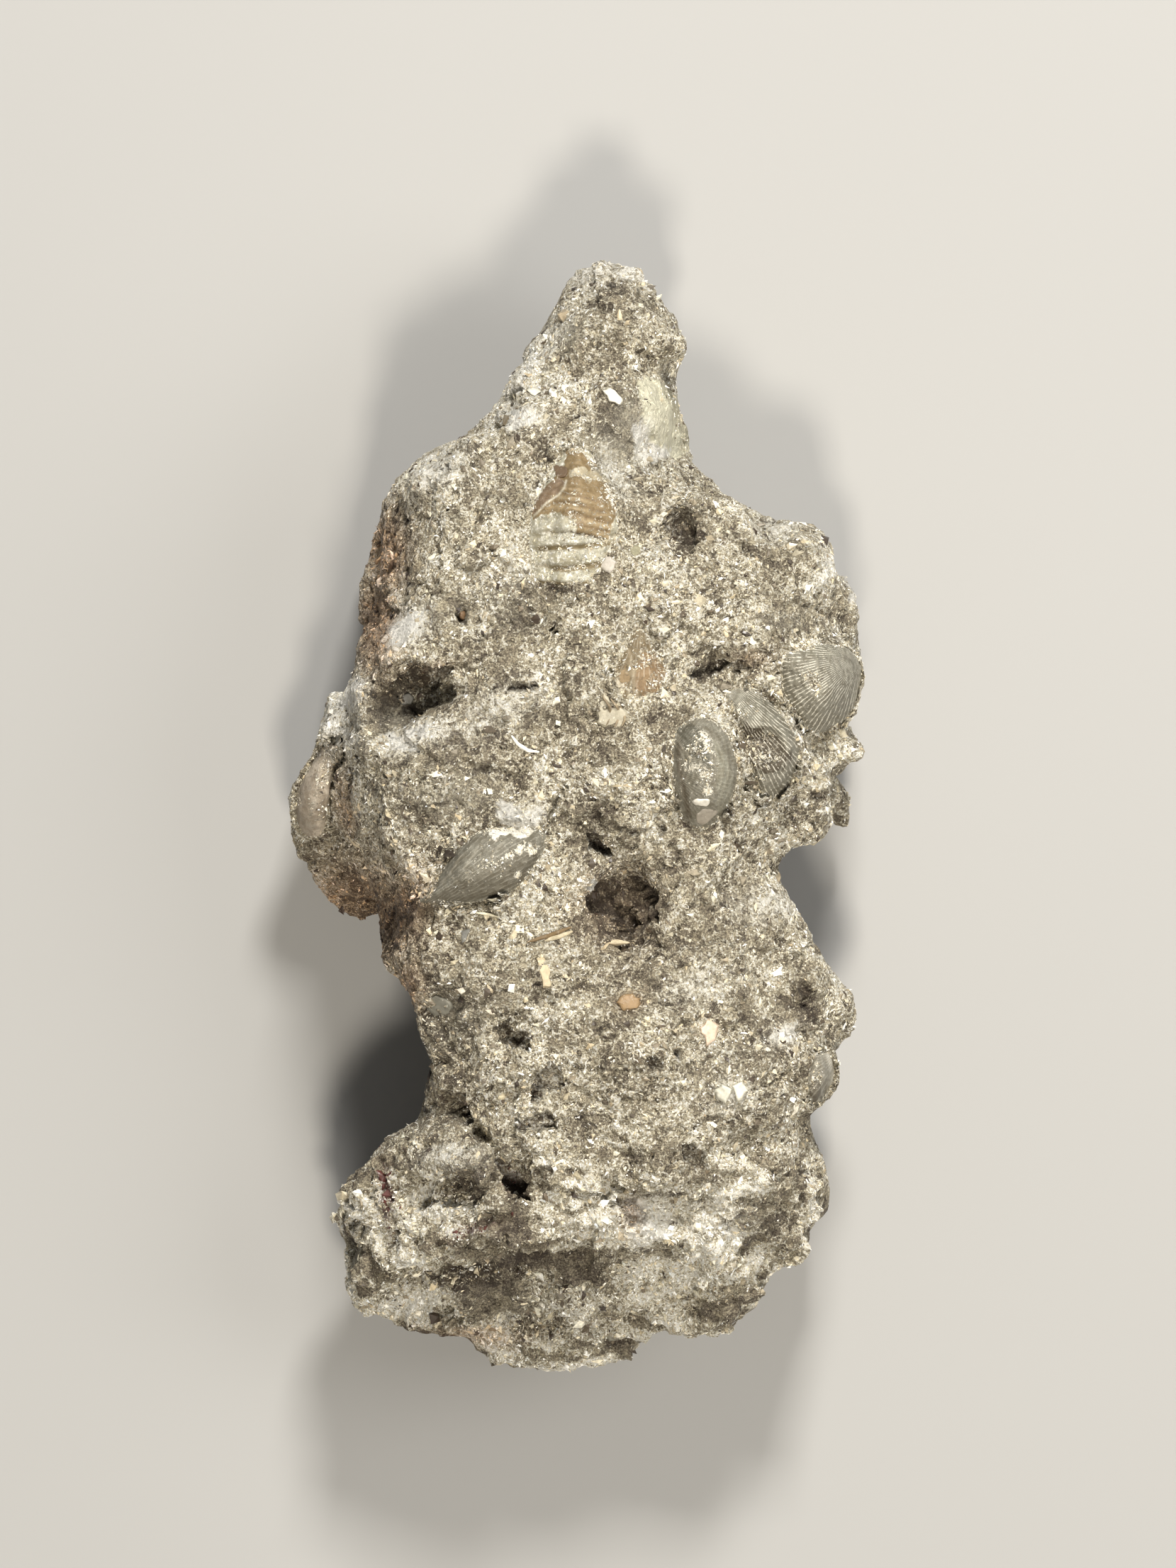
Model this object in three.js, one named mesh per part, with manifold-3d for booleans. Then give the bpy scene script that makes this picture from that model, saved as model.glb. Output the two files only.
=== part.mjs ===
// A hand-sized chunk of shelly limestone that holds the ribbed tail shield of a small trilobite, four
// brachiopod valves and some shell fragments. It lies on its back: the fossil face looks up (+Z), the
// spire of the rock points along +Y, and the break that it rests on is the plane Z = 0. Millimetres.

import * as THREE from 'three';
import { ImprovedNoise } from 'three/addons/math/ImprovedNoise.js';
import { edgeTable, triTable } from 'three/addons/objects/MarchingCubes.js';
import Module from 'manifold-3d';

const wasm = await Module();
wasm.setup();

const { clamp, lerp, smoothstep, seededRandom } = THREE.MathUtils;

// Driving dimensions

const ROCK_LENGTH = 92.3;
const ROCK_WIDTH = 47.9;
const FACE_DEPTH_RANGE = 34;
const GAP = 0.35;
const POCKET_CLEARANCE_ABOVE = 6;
const POCKET_CLEARANCE_BELOW = 0.9;

const GRID_STEP = 2.2;
const GRID_STEP_FRONT = 1.85;
const GRID_STEP_BACK = 3.0;
const FRONT_ZONE_FROM = 17;

const EDGE_ROUNDING = 2.6;
const BACK_BEVEL_WIDTH = 6.5;
const BACK_BEVEL_SHARE = 0.42;
const BELOW_REST_PLANE = 0.9;

const LUMP_SIZE = 7.5;
const LUMP_HEIGHT = 0.8;
const CRUMB_SIZE = 3.6;
const CRUMB_HEIGHT = 0.5;
const OUTLINE_ALLOWANCE = 0.35;
const WALL_WAVER_SIZE = 6;
const WALL_WAVER_SHARE = 0.55;
const WALL_WAVER_MOST = 3.2;
const CRUMB_NOISE_OFFSET = [31.7, 12.3, 0];
const WAVER_X_NOISE_OFFSET = [0, 0, 40.5];
const WAVER_Y_NOISE_OFFSET = [17.3, 0, 8.1];
const BACK_BEVEL_CURVE = 1.7;
const LEDGE_FADE_FROM = 5;
const LEDGE_FADE_TO = 2;
const HOLLOW_REACH = 8;

// Outline of the rock from above, clockwise from the left shoulder

const leftShoulder = [
  [-15.2, 27.6], [-13.4, 28.4], [-12.2, 29.1], [-10.4, 30.3], [-9.2, 31.5], [-7.5, 32.1],
];
const spireLeft = [
  [-6.8, 34.0], [-5.7, 35.5], [-4.6, 36.9], [-4.3, 38.4], [-2.9, 40.0], [-2.2, 41.4], [-1.1, 43.4],
  [0.1, 44.9],
];
const spireTop = [
  [0.9, 45.7], [1.3, 46.0], [1.6, 45.8], [2.0, 46.1], [2.4, 45.0], [3.6, 44.8], [4.3, 45.4], [5.6, 44.9],
];
const spireRight = [
  [7.0, 44.2], [6.8, 43.3], [7.5, 42.5], [8.0, 41.2], [8.6, 40.2], [9.7, 39.3], [8.5, 38.1], [7.7, 37.6],
  [7.1, 36.3], [8.4, 35.0], [8.3, 33.3], [9.2, 32.1], [8.3, 30.1], [10.2, 28.4], [10.6, 27.7],
];
const rightShoulder = [
  [12.4, 27.6], [13.2, 25.9], [14.4, 25.6], [15.3, 23.8], [17.6, 23.4], [19.7, 24.0], [20.5, 23.1],
  [21.8, 22.6], [22.2, 21.2], [22.4, 19.9], [23.2, 18.6], [23.6, 16.8],
];
const rightLobe = [
  [23.1, 15.4], [23.1, 13.6], [23.4, 11.9], [22.9, 10.1], [22.0, 7.6], [22.6, 5.9], [24.1, 4.9],
  [23.5, 4.0], [22.4, 3.9], [21.1, 2.5], [21.6, 0.0], [21.6, -1.6], [21.5, -2.6], [20.1, -2.0],
  [18.6, -2.9],
];
const neckRight = [
  [15.9, -2.4], [15.8, -5.1], [17.0, -7.2], [18.1, -8.5], [19.1, -11.2], [20.9, -13.1], [22.8, -15.1],
];
const lowerRight = [
  [23.4, -16.9], [22.5, -18.7], [21.4, -19.9], [21.1, -21.5], [20.4, -23.4], [19.2, -24.8],
  [19.6, -26.4], [20.4, -28.6], [20.8, -31.2], [19.4, -32.4], [19.4, -35.2], [17.7, -37.1],
  [16.2, -37.6], [15.2, -39.3], [13.7, -40.9],
];
const bottomRim = [
  [12.5, -41.8], [9.4, -42.3], [5.5, -43.2], [4.3, -45.5], [1.8, -46.1], [-1.8, -46.3], [-4.1, -46.2],
  [-6.6, -46.0], [-7.5, -44.6], [-9.5, -43.5], [-12.2, -43.2], [-15.4, -41.9],
];
const foot = [
  [-16.8, -41.3], [-18.9, -41.8], [-18.8, -39.6], [-18.6, -36.2], [-19.3, -35.0], [-20.7, -33.0],
  [-19.3, -31.2], [-17.7, -29.6], [-16.7, -28.3], [-15.2, -26.4],
];
const waistLeft = [
  [-13.0, -25.9], [-11.7, -24.5], [-11.7, -22.2], [-10.7, -20.2], [-12.0, -18.3], [-12.6, -17.1],
  [-13.3, -14.7], [-15.5, -13.6], [-16.5, -12.2], [-17.3, -9.8],
];
const ledgeOutline = [
  [-18.6, -8.0], [-20.0, -7.3], [-21.7, -5.8], [-22.9, -4.3], [-23.1, -2.0], [-24.0, 0.2], [-23.7, 1.3],
  [-22.2, 4.0], [-21.3, 6.3], [-20.6, 8.9], [-20.4, 11.1],
];
const flankOutline = [
  [-18.4, 11.9], [-17.4, 13.1], [-17.2, 15.9], [-18.0, 18.8], [-17.0, 20.3], [-18.2, 22.2],
  [-17.1, 23.3], [-16.9, 25.4], [-15.5, 26.8],
];
const rockOutline = [
  leftShoulder, spireLeft, spireTop, spireRight, rightShoulder, rightLobe, neckRight, lowerRight,
  bottomRim, foot, waistLeft, ledgeOutline, flankOutline,
].flat().map(([x, y]) => new THREE.Vector2(x, y));

// Heights of the fossil face above the resting plane, as [x, y, z]

const spireHeights = [
  [1.5, 45.0, 19.0], [4.5, 44.0, 19.5], [2.5, 40.5, 22.5], [5.0, 38.5, 23.5], [0.5, 37.5, 24.0],
  [-2.5, 38.0, 21.5], [3.0, 33.5, 26.0], [-3.0, 33.5, 25.0], [6.0, 30.0, 26.0], [8.5, 28.0, 24.0],
];
const shoulderHeights = [
  [-8.0, 30.0, 25.0], [-12.5, 27.5, 25.0], [-8.5, 25.0, 27.5], [-12.0, 21.0, 27.0], [0.0, 24.0, 29.0],
  [8.5, 24.0, 27.5], [14.0, 22.0, 25.5], [18.0, 21.0, 23.0], [21.5, 17.0, 20.5],
];
const middleHeights = [
  [-7.0, 17.0, 28.5], [-12.5, 14.0, 28.0], [0.0, 14.0, 29.0], [7.0, 17.0, 28.5], [15.0, 15.0, 26.5],
  [20.0, 11.0, 24.5], [-16.0, 6.0, 26.5], [-12.0, 4.0, 29.0], [-5.0, 7.0, 29.5], [3.0, 6.0, 30.0],
  [10.5, 4.0, 29.0], [16.0, 5.0, 26.5], [21.0, 5.0, 20.0], [-14.0, -3.0, 28.0], [-8.0, -3.0, 30.0],
  [-2.0, -2.0, 29.0], [4.5, -3.0, 28.5], [11.0, -5.0, 27.5], [15.5, -7.0, 24.0], [20.0, 0.0, 21.0],
];
const waistHeights = [
  [-11.5, -11.0, 28.0], [-5.0, -12.0, 29.0], [3.0, -14.0, 29.0], [11.0, -13.0, 28.0],
  [18.5, -13.5, 23.5], [21.5, -17.0, 21.5], [-11.0, -20.0, 26.0], [-4.0, -21.0, 28.5],
  [6.0, -21.0, 29.0], [14.0, -21.0, 27.0], [19.0, -23.0, 23.0],
];
const footHeights = [
  [-2.0, -28.0, 27.5], [8.0, -28.0, 28.0], [15.0, -29.0, 24.5], [19.0, -31.0, 20.0],
  [-13.0, -27.5, 24.0], [-9.0, -29.0, 26.5], [-16.0, -31.0, 21.5], [-18.5, -34.0, 18.0],
  [-11.0, -35.0, 24.0], [-16.0, -39.0, 18.0], [-6.0, -34.0, 25.5], [2.0, -34.0, 25.0],
  [9.0, -35.0, 23.0], [15.0, -36.0, 18.5], [-8.0, -40.0, 20.0], [0.0, -40.0, 20.0],
  [8.0, -40.5, 17.5], [-3.0, -44.5, 14.0], [3.0, -44.0, 14.0], [-13.0, -41.5, 16.5],
];
const faceHeights = [spireHeights, shoulderHeights, middleHeights, waistHeights, footHeights].flat();
const HEIGHT_BLEND = 4;

// The left arris of the fossil face as [y, x], and how the flank falls away left of it

const leftArris = [
  [-30, -30], [-24, -22], [-18, -13.5], [-15.0, -13.1], [-12.1, -14.3], [-10.9, -13.7], [-9.2, -12.5],
  [-6.5, -13.4], [-3.9, -14.9], [-2.1, -15.6], [-0.6, -16.1], [3.2, -17.1], [5.6, -18.1], [6.7, -17.4],
  [8.5, -17.5], [10.0, -17.4], [11.4, -16.7], [14.1, -14.9], [16.1, -12.8], [26.1, -12.6], [28.6, -15.5],
  [32, -30],
];
const flankSlope = [[-30, 2.2], [-12, 2.2], [-8, 4.0], [9, 4.4], [14, 2.6], [30, 2.4]];
const ledgeTop = [
  [-20, 11], [-13, 7.5], [-8, 8.5], [-4, 11.5], [0, 13.5], [5, 14.5], [12, 14.5], [27, 14.0],
];

// The arris of the smooth facet on the right of the spire, as [y, x]

const spireArris = [
  [24, 20], [27.0, 10.5], [28.8, 6.6], [29.7, 5.4], [30.9, 5.1], [32.6, 6.2], [34.4, 5.6], [36.7, 5.1],
  [37.9, 5.9], [40.6, 6.4], [43, 9], [47, 12],
];
const SPIRE_FACET_SLOPE = 1.7;
const SPIRE_FACET_DROP = 6.5;

// Swells and dips of the face: [x, y, reach along x, reach along y, height]

const swells = [
  [-11.5, 3.4, 3.6, 2.6, 1.3],
  [-8.5, 12.6, 4.2, 2.0, 0.9],
  [15.6, -3.0, 1.5, 4.2, 1.2],
  [-8.0, -12.5, 3.2, 2.6, 1.0],
  [9.0, -9.0, 3.0, 3.2, 0.8],
  [8.5, -17.5, 4.5, 2.0, 1.0],
  [14.5, -24.5, 3.0, 2.2, 0.9],
  [-9.0, -34.5, 5.0, 3.0, 1.2],
  [-9.5, -28.6, 4.0, 1.4, 1.1],
  [6.0, 20.5, 2.6, 1.6, 0.9],
  [13.5, 18.5, 3.4, 1.6, 1.0],
  [0.0, 32.5, 2.6, 3.6, 0.7],
  [16.5, 9.6, 1.2, 1.6, -1.3],
  [2.2, -5.5, 5.0, 5.4, -1.3],
  [-1.5, 1.0, 1.6, 3.8, -0.8],
];

// Ledges where the foot steps down towards -Y: [x from, x to, y, drop]

const ledges = [
  [-17.0, -6.0, -38.4, 1.8],
  [-7.0, -2.0, -36.7, 1.3],
  [-8.5, 3.5, -41.3, 1.9],
  [4.5, 12.5, -37.4, 1.2],
];
const LEDGE_RISER = 0.9;
const LEDGE_END_FADE = 1.6;

// Hollows and pits: [x, y, radius along x, radius along y, depth]

const hollows = [
  [-12.4, 10.2, 2.8, 1.7, 3.6],
  [-15.2, 8.3, 2.2, 1.9, 3.4],
  [4.2, -7.6, 2.6, 3.9, 3.0],
  [1.6, -2.7, 1.3, 1.3, 3.4],
  [8.3, 23.6, 2.2, 1.8, 2.6],
  [11.4, 11.6, 2.3, 0.9, 1.9],
  [-5.0, -30.3, 1.7, 2.0, 4.2],
  [-2.4, -23.0, 1.6, 1.4, 2.0],
  [-3.3, -26.2, 1.5, 1.1, 1.7],
  [-5.2, -18.4, 1.6, 1.2, 1.9],
  [-10.6, -24.0, 1.8, 1.6, 2.2],
  [-11.2, -31.3, 2.9, 1.7, 1.6],
  [9.9, -28.7, 1.3, 1.3, 1.7],
  [18.7, -15.3, 1.0, 1.6, 1.5],
  [4.6, -33.3, 1.1, 1.4, 1.4],
  [-9.5, 16.3, 1.0, 1.3, 1.6],
];

// Broken faces on the back, each a plane that rises from the resting plane: [nx, ny, start, slope]

const backFacets = [
  [0, 1, 25, 0.48],
  [1, 0, 12.5, 0.5],
  [-1, 0, 12, 0.42],
  [0, -1, 35.5, 0.55],
  [0.71, 0.71, 23, 0.62],
  [-0.8, 0.6, 24, 0.55],
  [0.83, -0.56, 27, 0.6],
  [-0.64, -0.77, 29.5, 0.5],
];
const backScoops = [
  [9, 13, 6, 5, 3.4],
  [-6, -31, 5, 4, 3.0],
  [-6, 18, 4, 6, 3.2],
  [6, -17, 4, 5, 2.6],
];

// Side walls: each stretch of the outline leans in by its own amount above and below its widest level

const WALL_STRETCH = 8;
const WALL_UNDERCUT = [0.06, 0.62];
const WALL_LEAN_ABOVE = [0.0, 0.42];
const WALL_WIDEST_LEVEL = [0.42, 0.78];

// Crack between the foot and the rest of the rock, and the crack above the lower left shell

const footCrack = [[-12.6, -24.3], [-9.2, -25.4], [-7.8, -26.5], [-6.8, -27.7], [-5.6, -29.4]];
const upperCrack = [[-0.9, 2.3], [-2.1, -0.2], [-2.25, -1.9]];
const CRACK_WIDTH = 1.0;
const CRACK_DEPTH = 2.8;

// Table lookup with straight stretches between [position, value] pairs

function between(table, position) {
  if (position <= table[0][0]) return table[0][1];
  for (let i = 1; i < table.length; i++) {
    const [from, valueFrom] = table[i - 1];
    const [to, valueTo] = table[i];
    if (position <= to) return lerp(valueFrom, valueTo, (position - from) / (to - from));
  }
  return table[table.length - 1][1];
}

// Distance from a point in the plan to the outline, positive inside the rock

function insideOutline(x, y) {
  let nearest = Infinity;
  let inside = false;
  rockOutline.forEach((a, i) => {
    const b = rockOutline[(i + 1) % rockOutline.length];
    const ex = b.x - a.x;
    const ey = b.y - a.y;
    const along = clamp(((x - a.x) * ex + (y - a.y) * ey) / (ex * ex + ey * ey), 0, 1);
    nearest = Math.min(nearest, Math.hypot(x - a.x - along * ex, y - a.y - along * ey));
    const crosses = (a.y > y) !== (b.y > y);
    if (crosses && x < a.x + ((y - a.y) / ey) * ex) inside = !inside;
  });
  return inside ? nearest : -nearest;
}

function bell(x, y, [cx, cy, reachX, reachY, height]) {
  const dx = (x - cx) / reachX;
  const dy = (y - cy) / reachY;
  return height * Math.exp(-dx * dx - dy * dy);
}

function ledgeDrop(x, y, [fromX, toX, ledgeY, drop]) {
  const begun = smoothstep(x, fromX - LEDGE_END_FADE, fromX);
  const ended = smoothstep(x, toX, toX + LEDGE_END_FADE);
  const rise = 1 - smoothstep(y, ledgeY - LEDGE_RISER, ledgeY);
  const run = smoothstep(y, ledgeY - LEDGE_FADE_FROM, ledgeY - LEDGE_FADE_TO);
  return drop * begun * (1 - ended) * rise * run;
}

// Height of the fossil face without its grain

function faceHeight(x, y) {
  let sum = 0;
  let weights = 0;
  for (const [hx, hy, hz] of faceHeights) {
    const weight = 1 / ((x - hx) ** 2 + (y - hy) ** 2 + HEIGHT_BLEND) ** 2;
    sum += weight * hz;
    weights += weight;
  }
  let height = sum / weights;
  for (const swell of swells) height += bell(x, y, swell);
  for (const ledge of ledges) height -= ledgeDrop(x, y, ledge);
  const leftOfArris = Math.max(0, between(leftArris, y) - x);
  const flank = height - between(flankSlope, y) * leftOfArris;
  if (leftOfArris > 0) height = Math.max(flank, Math.min(height, between(ledgeTop, y)));
  const rightOfSpireArris = Math.max(0, x - between(spireArris, y));
  return height - Math.min(SPIRE_FACET_DROP, SPIRE_FACET_SLOPE * rightOfSpireArris);
}

// Height of the face where it rounds over into the side walls

function skinHeight(x, y) {
  const inside = clamp(insideOutline(x, y), 0, EDGE_ROUNDING);
  const rise = Math.sqrt(EDGE_ROUNDING ** 2 - (EDGE_ROUNDING - inside) ** 2);
  return faceHeight(x, y) - (EDGE_ROUNDING - rise);
}

function backHeight(x, y, inside, face) {
  const bevel = clamp(1 - inside / BACK_BEVEL_WIDTH, 0, 1) ** BACK_BEVEL_CURVE * BACK_BEVEL_SHARE * face;
  let height = bevel - BELOW_REST_PLANE;
  for (const [nx, ny, start, slope] of backFacets) {
    height = Math.max(height, (nx * x + ny * y - start) * slope);
  }
  for (const scoop of backScoops) height += bell(x, y, scoop);
  return height;
}

// Wall stretches along the outline

function wallStretches() {
  const stretches = [];
  let sinceLast = WALL_STRETCH;
  rockOutline.forEach((point, i) => {
    if (sinceLast >= WALL_STRETCH) {
      stretches.push({
        point,
        undercut: lerp(...WALL_UNDERCUT, seededRandom()),
        above: lerp(...WALL_LEAN_ABOVE, seededRandom()),
        level: lerp(...WALL_WIDEST_LEVEL, seededRandom()),
      });
      sinceLast = 0;
    }
    sinceLast += point.distanceTo(rockOutline[(i + 1) % rockOutline.length]);
  });
  return stretches;
}

const WALL_SEED = 11;
seededRandom(WALL_SEED);
const stretches = wallStretches();

function nearestStretch(x, y) {
  const here = new THREE.Vector2(x, y);
  return stretches.reduce((best, s) => (
    s.point.distanceToSquared(here) < best.point.distanceToSquared(here) ? s : best
  ));
}

// The rock as a depth field, positive inside

const grain = new ImprovedNoise();

function noiseAt(place, size, offset = [0, 0, 0]) {
  return grain.noise(...place.map((n, axis) => n / size + offset[axis]));
}

function roughness(place) {
  const lump = noiseAt(place, LUMP_SIZE);
  const crumb = noiseAt(place, CRUMB_SIZE, CRUMB_NOISE_OFFSET);
  return LUMP_HEIGHT * lump + CRUMB_HEIGHT * crumb;
}

function columnAt(x, y) {
  const face = skinHeight(x, y);
  const near = hollows.filter(([hx, hy]) => Math.hypot(x - hx, y - hy) < HOLLOW_REACH);
  return {
    x, y, face,
    back: backHeight(x, y, insideOutline(x, y), face),
    wall: nearestStretch(x, y),
    hollows: near.map((hollow) => [...hollow, faceHeight(hollow[0], hollow[1])]),
  };
}

// The outline wavers away from the widest level, so that the walls aren't straight extrusions of it

function insideWall(x, y, z, fromWidest) {
  const waver = Math.min(WALL_WAVER_MOST, WALL_WAVER_SHARE * fromWidest);
  const shiftX = waver * noiseAt([x, y, z], WALL_WAVER_SIZE, WAVER_X_NOISE_OFFSET);
  const shiftY = waver * noiseAt([x, y, z], WALL_WAVER_SIZE, WAVER_Y_NOISE_OFFSET);
  return insideOutline(x + shiftX, y + shiftY);
}

function rockDepth(column, z) {
  const { x, y, face, back, wall } = column;
  const widest = lerp(Math.max(back, 0), face, wall.level);
  const lean = wall.undercut * Math.max(0, widest - z) + wall.above * Math.max(0, z - widest);
  const inside = insideWall(x, y, z, Math.abs(z - widest)) + OUTLINE_ALLOWANCE - lean;
  let depth = Math.min(inside, face - z, z - back) + roughness([x, y, z]);
  for (const [hx, hy, rx, ry, deep, level] of column.hollows) {
    const away = Math.hypot((x - hx) / rx, (y - hy) / ry, (z - level) / deep);
    depth = Math.min(depth, (away - 1) * Math.min(rx, ry));
  }
  return depth;
}

// Grid positions, finer at the fossil face than at the back

function evenSteps(from, to, step) {
  const count = Math.round((to - from) / step);
  return Array.from({ length: count + 1 }, (_, i) => lerp(from, to, i / count));
}

const MARGIN = 3;
const gridX = evenSteps(-ROCK_WIDTH / 2 - MARGIN, ROCK_WIDTH / 2 + MARGIN, GRID_STEP);
const gridY = evenSteps(-ROCK_LENGTH / 2 - MARGIN, ROCK_LENGTH / 2 + MARGIN, GRID_STEP);
const gridZ = [
  ...evenSteps(-MARGIN, FRONT_ZONE_FROM, GRID_STEP_BACK).slice(0, -1),
  ...evenSteps(FRONT_ZONE_FROM, FACE_DEPTH_RANGE, GRID_STEP_FRONT),
];

// Corners of a grid cell, its edges as pairs of corners, in the order of the case tables, and how many
// places the triangle table keeps for each case

const cellCorners = [
  [0, 0, 0], [1, 0, 0], [1, 1, 0], [0, 1, 0], [0, 0, 1], [1, 0, 1], [1, 1, 1], [0, 1, 1],
];
const cellEdges = [
  [0, 1], [1, 2], [2, 3], [3, 0], [4, 5], [5, 6], [6, 7], [7, 4], [0, 4], [1, 5], [2, 6], [3, 7],
];
const PLACES_PER_CASE = 16;
const CORNER_KEEP_OFF = 0.13;

// Triangles of the surface where the depth field crosses zero

function surfaceOfField(depthAt) {
  const corner = (i, j, k) => (k * gridY.length + j) * gridX.length + i;
  const depths = new Float64Array(gridX.length * gridY.length * gridZ.length);
  gridY.forEach((y, j) => gridX.forEach((x, i) => {
    const column = columnAt(x, y);
    gridZ.forEach((z, k) => {
      depths[corner(i, j, k)] = depthAt(column, z);
    });
  }));
  const positions = [];
  const triangles = [];
  const vertexOnEdge = new Map();
  const vertexBetween = (a, b) => {
    const [low, high] = [a, b].map(([i, j, k]) => corner(i, j, k)).sort((m, n) => m - n);
    const key = `${low} ${high}`;
    if (!vertexOnEdge.has(key)) {
      const depthA = depths[corner(...a)];
      const depthB = depths[corner(...b)];
      const share = clamp(depthA / (depthA - depthB), CORNER_KEEP_OFF, 1 - CORNER_KEEP_OFF);
      vertexOnEdge.set(key, positions.length / 3);
      positions.push(
        lerp(gridX[a[0]], gridX[b[0]], share),
        lerp(gridY[a[1]], gridY[b[1]], share),
        lerp(gridZ[a[2]], gridZ[b[2]], share),
      );
    }
    return vertexOnEdge.get(key);
  };
  for (let k = 0; k + 1 < gridZ.length; k++) {
    for (let j = 0; j + 1 < gridY.length; j++) {
      for (let i = 0; i + 1 < gridX.length; i++) {
        const corners = cellCorners.map(([di, dj, dk]) => [i + di, j + dj, k + dk]);
        let cellCase = 0;
        corners.forEach((c, bit) => {
          if (depths[corner(...c)] > 0) cellCase |= 1 << bit;
        });
        if (edgeTable[cellCase] === 0) continue;
        for (let t = cellCase * PLACES_PER_CASE; triTable[t] !== -1; t++) {
          const [a, b] = cellEdges[triTable[t]];
          triangles.push(vertexBetween(corners[a], corners[b]));
        }
      }
    }
  }
  return { positions, triangles };
}

// Solids for joining and cutting

function solidFrom({ positions, triangles }) {
  let volume = 0;
  const at = (v) => new THREE.Vector3().fromArray(positions, v * 3);
  for (let t = 0; t < triangles.length; t += 3) {
    const [a, b, c] = [0, 1, 2].map((n) => at(triangles[t + n]));
    volume += a.dot(b.cross(c));
  }
  const facing = volume > 0 ? triangles : [...triangles].reverse();
  return new wasm.Manifold(new wasm.Mesh({
    numProp: 3,
    vertProperties: new Float32Array(positions),
    triVerts: new Uint32Array(facing),
  }));
}

function meshFrom(solid, name, material) {
  const { vertProperties, triVerts } = solid.getMesh();
  const geometry = new THREE.BufferGeometry();
  geometry.setAttribute('position', new THREE.BufferAttribute(new Float32Array(vertProperties), 3));
  geometry.setIndex([...triVerts]);
  geometry.computeVertexNormals();
  const mesh = new THREE.Mesh(geometry, material);
  mesh.name = name;
  return mesh;
}

// A closed solid under a top made of rows of equal length: the top's rim goes down to a floor, which
// closes in a fan about its middle

function solidUnderRows(rows, floorBelow) {
  const width = rows[0].length;
  const positions = rows.flat().flatMap((p) => [p.x, p.y, p.z]);
  const triangles = [];
  const top = (i, j) => i * width + j;
  for (let i = 0; i + 1 < rows.length; i++) {
    for (let j = 0; j + 1 < width; j++) {
      triangles.push(top(i, j), top(i, j + 1), top(i + 1, j + 1));
      triangles.push(top(i, j), top(i + 1, j + 1), top(i + 1, j));
    }
  }
  const rim = [];
  for (let j = 0; j + 1 < width; j++) rim.push(top(0, j));
  for (let i = 0; i + 1 < rows.length; i++) rim.push(top(i, width - 1));
  for (let j = width - 1; j > 0; j--) rim.push(top(rows.length - 1, j));
  for (let i = rows.length - 1; i > 0; i--) rim.push(top(i, 0));
  closeBelow(positions, triangles, rim, floorBelow);
  return solidFrom({ positions, triangles });
}

function closeBelow(positions, triangles, rim, floorBelow) {
  const first = positions.length / 3;
  const middle = new THREE.Vector3();
  rim.forEach((v, i) => {
    const floor = new THREE.Vector3().fromArray(positions, v * 3);
    floor.z = floorBelow(floor.x, floor.y, i);
    middle.addScaledVector(floor, 1 / rim.length);
    positions.push(...floor.toArray());
  });
  positions.push(...middle.toArray());
  const centre = positions.length / 3 - 1;
  rim.forEach((v, i) => {
    const next = (i + 1) % rim.length;
    triangles.push(v, first + i, rim[next]);
    triangles.push(rim[next], first + i, first + next);
    triangles.push(first + i, centre, first + next);
  });
}

// A closed solid whose top is rings that shrink from a smooth rim to a middle point

function solidUnderRings(rim, middle, ringCount, topAt, floorBelow) {
  const positions = [];
  const triangles = [];
  const count = rim.length;
  for (let ring = 0; ring < ringCount; ring++) {
    const share = 1 - ring / ringCount;
    rim.forEach((p, i) => {
      const here = middle.clone().lerp(p, share);
      positions.push(here.x, here.y, topAt(here.x, here.y, share, i));
    });
  }
  positions.push(middle.x, middle.y, topAt(middle.x, middle.y, 0, 0));
  for (let ring = 0; ring + 1 < ringCount; ring++) {
    for (let i = 0; i < count; i++) {
      const next = (i + 1) % count;
      const [a, b] = [ring * count + i, ring * count + next];
      triangles.push(a, b, b + count, a, b + count, a + count);
    }
  }
  const apex = ringCount * count;
  for (let i = 0; i < count; i++) {
    triangles.push((ringCount - 1) * count + i, (ringCount - 1) * count + ((i + 1) % count), apex);
  }
  closeBelow(positions, triangles, rim.map((_, i) => i), floorBelow);
  return solidFrom({ positions, triangles });
}

function smoothRim(points, count, grow = 0) {
  const corners = points.map(([x, y]) => new THREE.Vector3(x, y, 0));
  const curve = new THREE.CatmullRomCurve3(corners, true, 'centripetal');
  const around = curve.getSpacedPoints(count).slice(0, count).map((p) => new THREE.Vector2(p.x, p.y));
  const turns = THREE.ShapeUtils.area(around) > 0 ? 1 : -1;
  return around.map((p, i) => {
    const before = around[(i + count - 1) % count];
    const after = around[(i + 1) % count];
    const along = after.clone().sub(before).normalize();
    return p.clone().add(new THREE.Vector2(along.y, -along.x).multiplyScalar(turns * grow));
  });
}

function middleOf(rim) {
  return rim.reduce((sum, p) => sum.addScaledVector(p, 1 / rim.length), new THREE.Vector2());
}

// Shells and fragments fixed in the face. rise is how far the middle stands above the rock's face, sunk
// how far the rim lies below it, embed how far the piece reaches down into the rock. A ridge is a line
// of [x, y] points along which the piece is highest.

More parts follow.
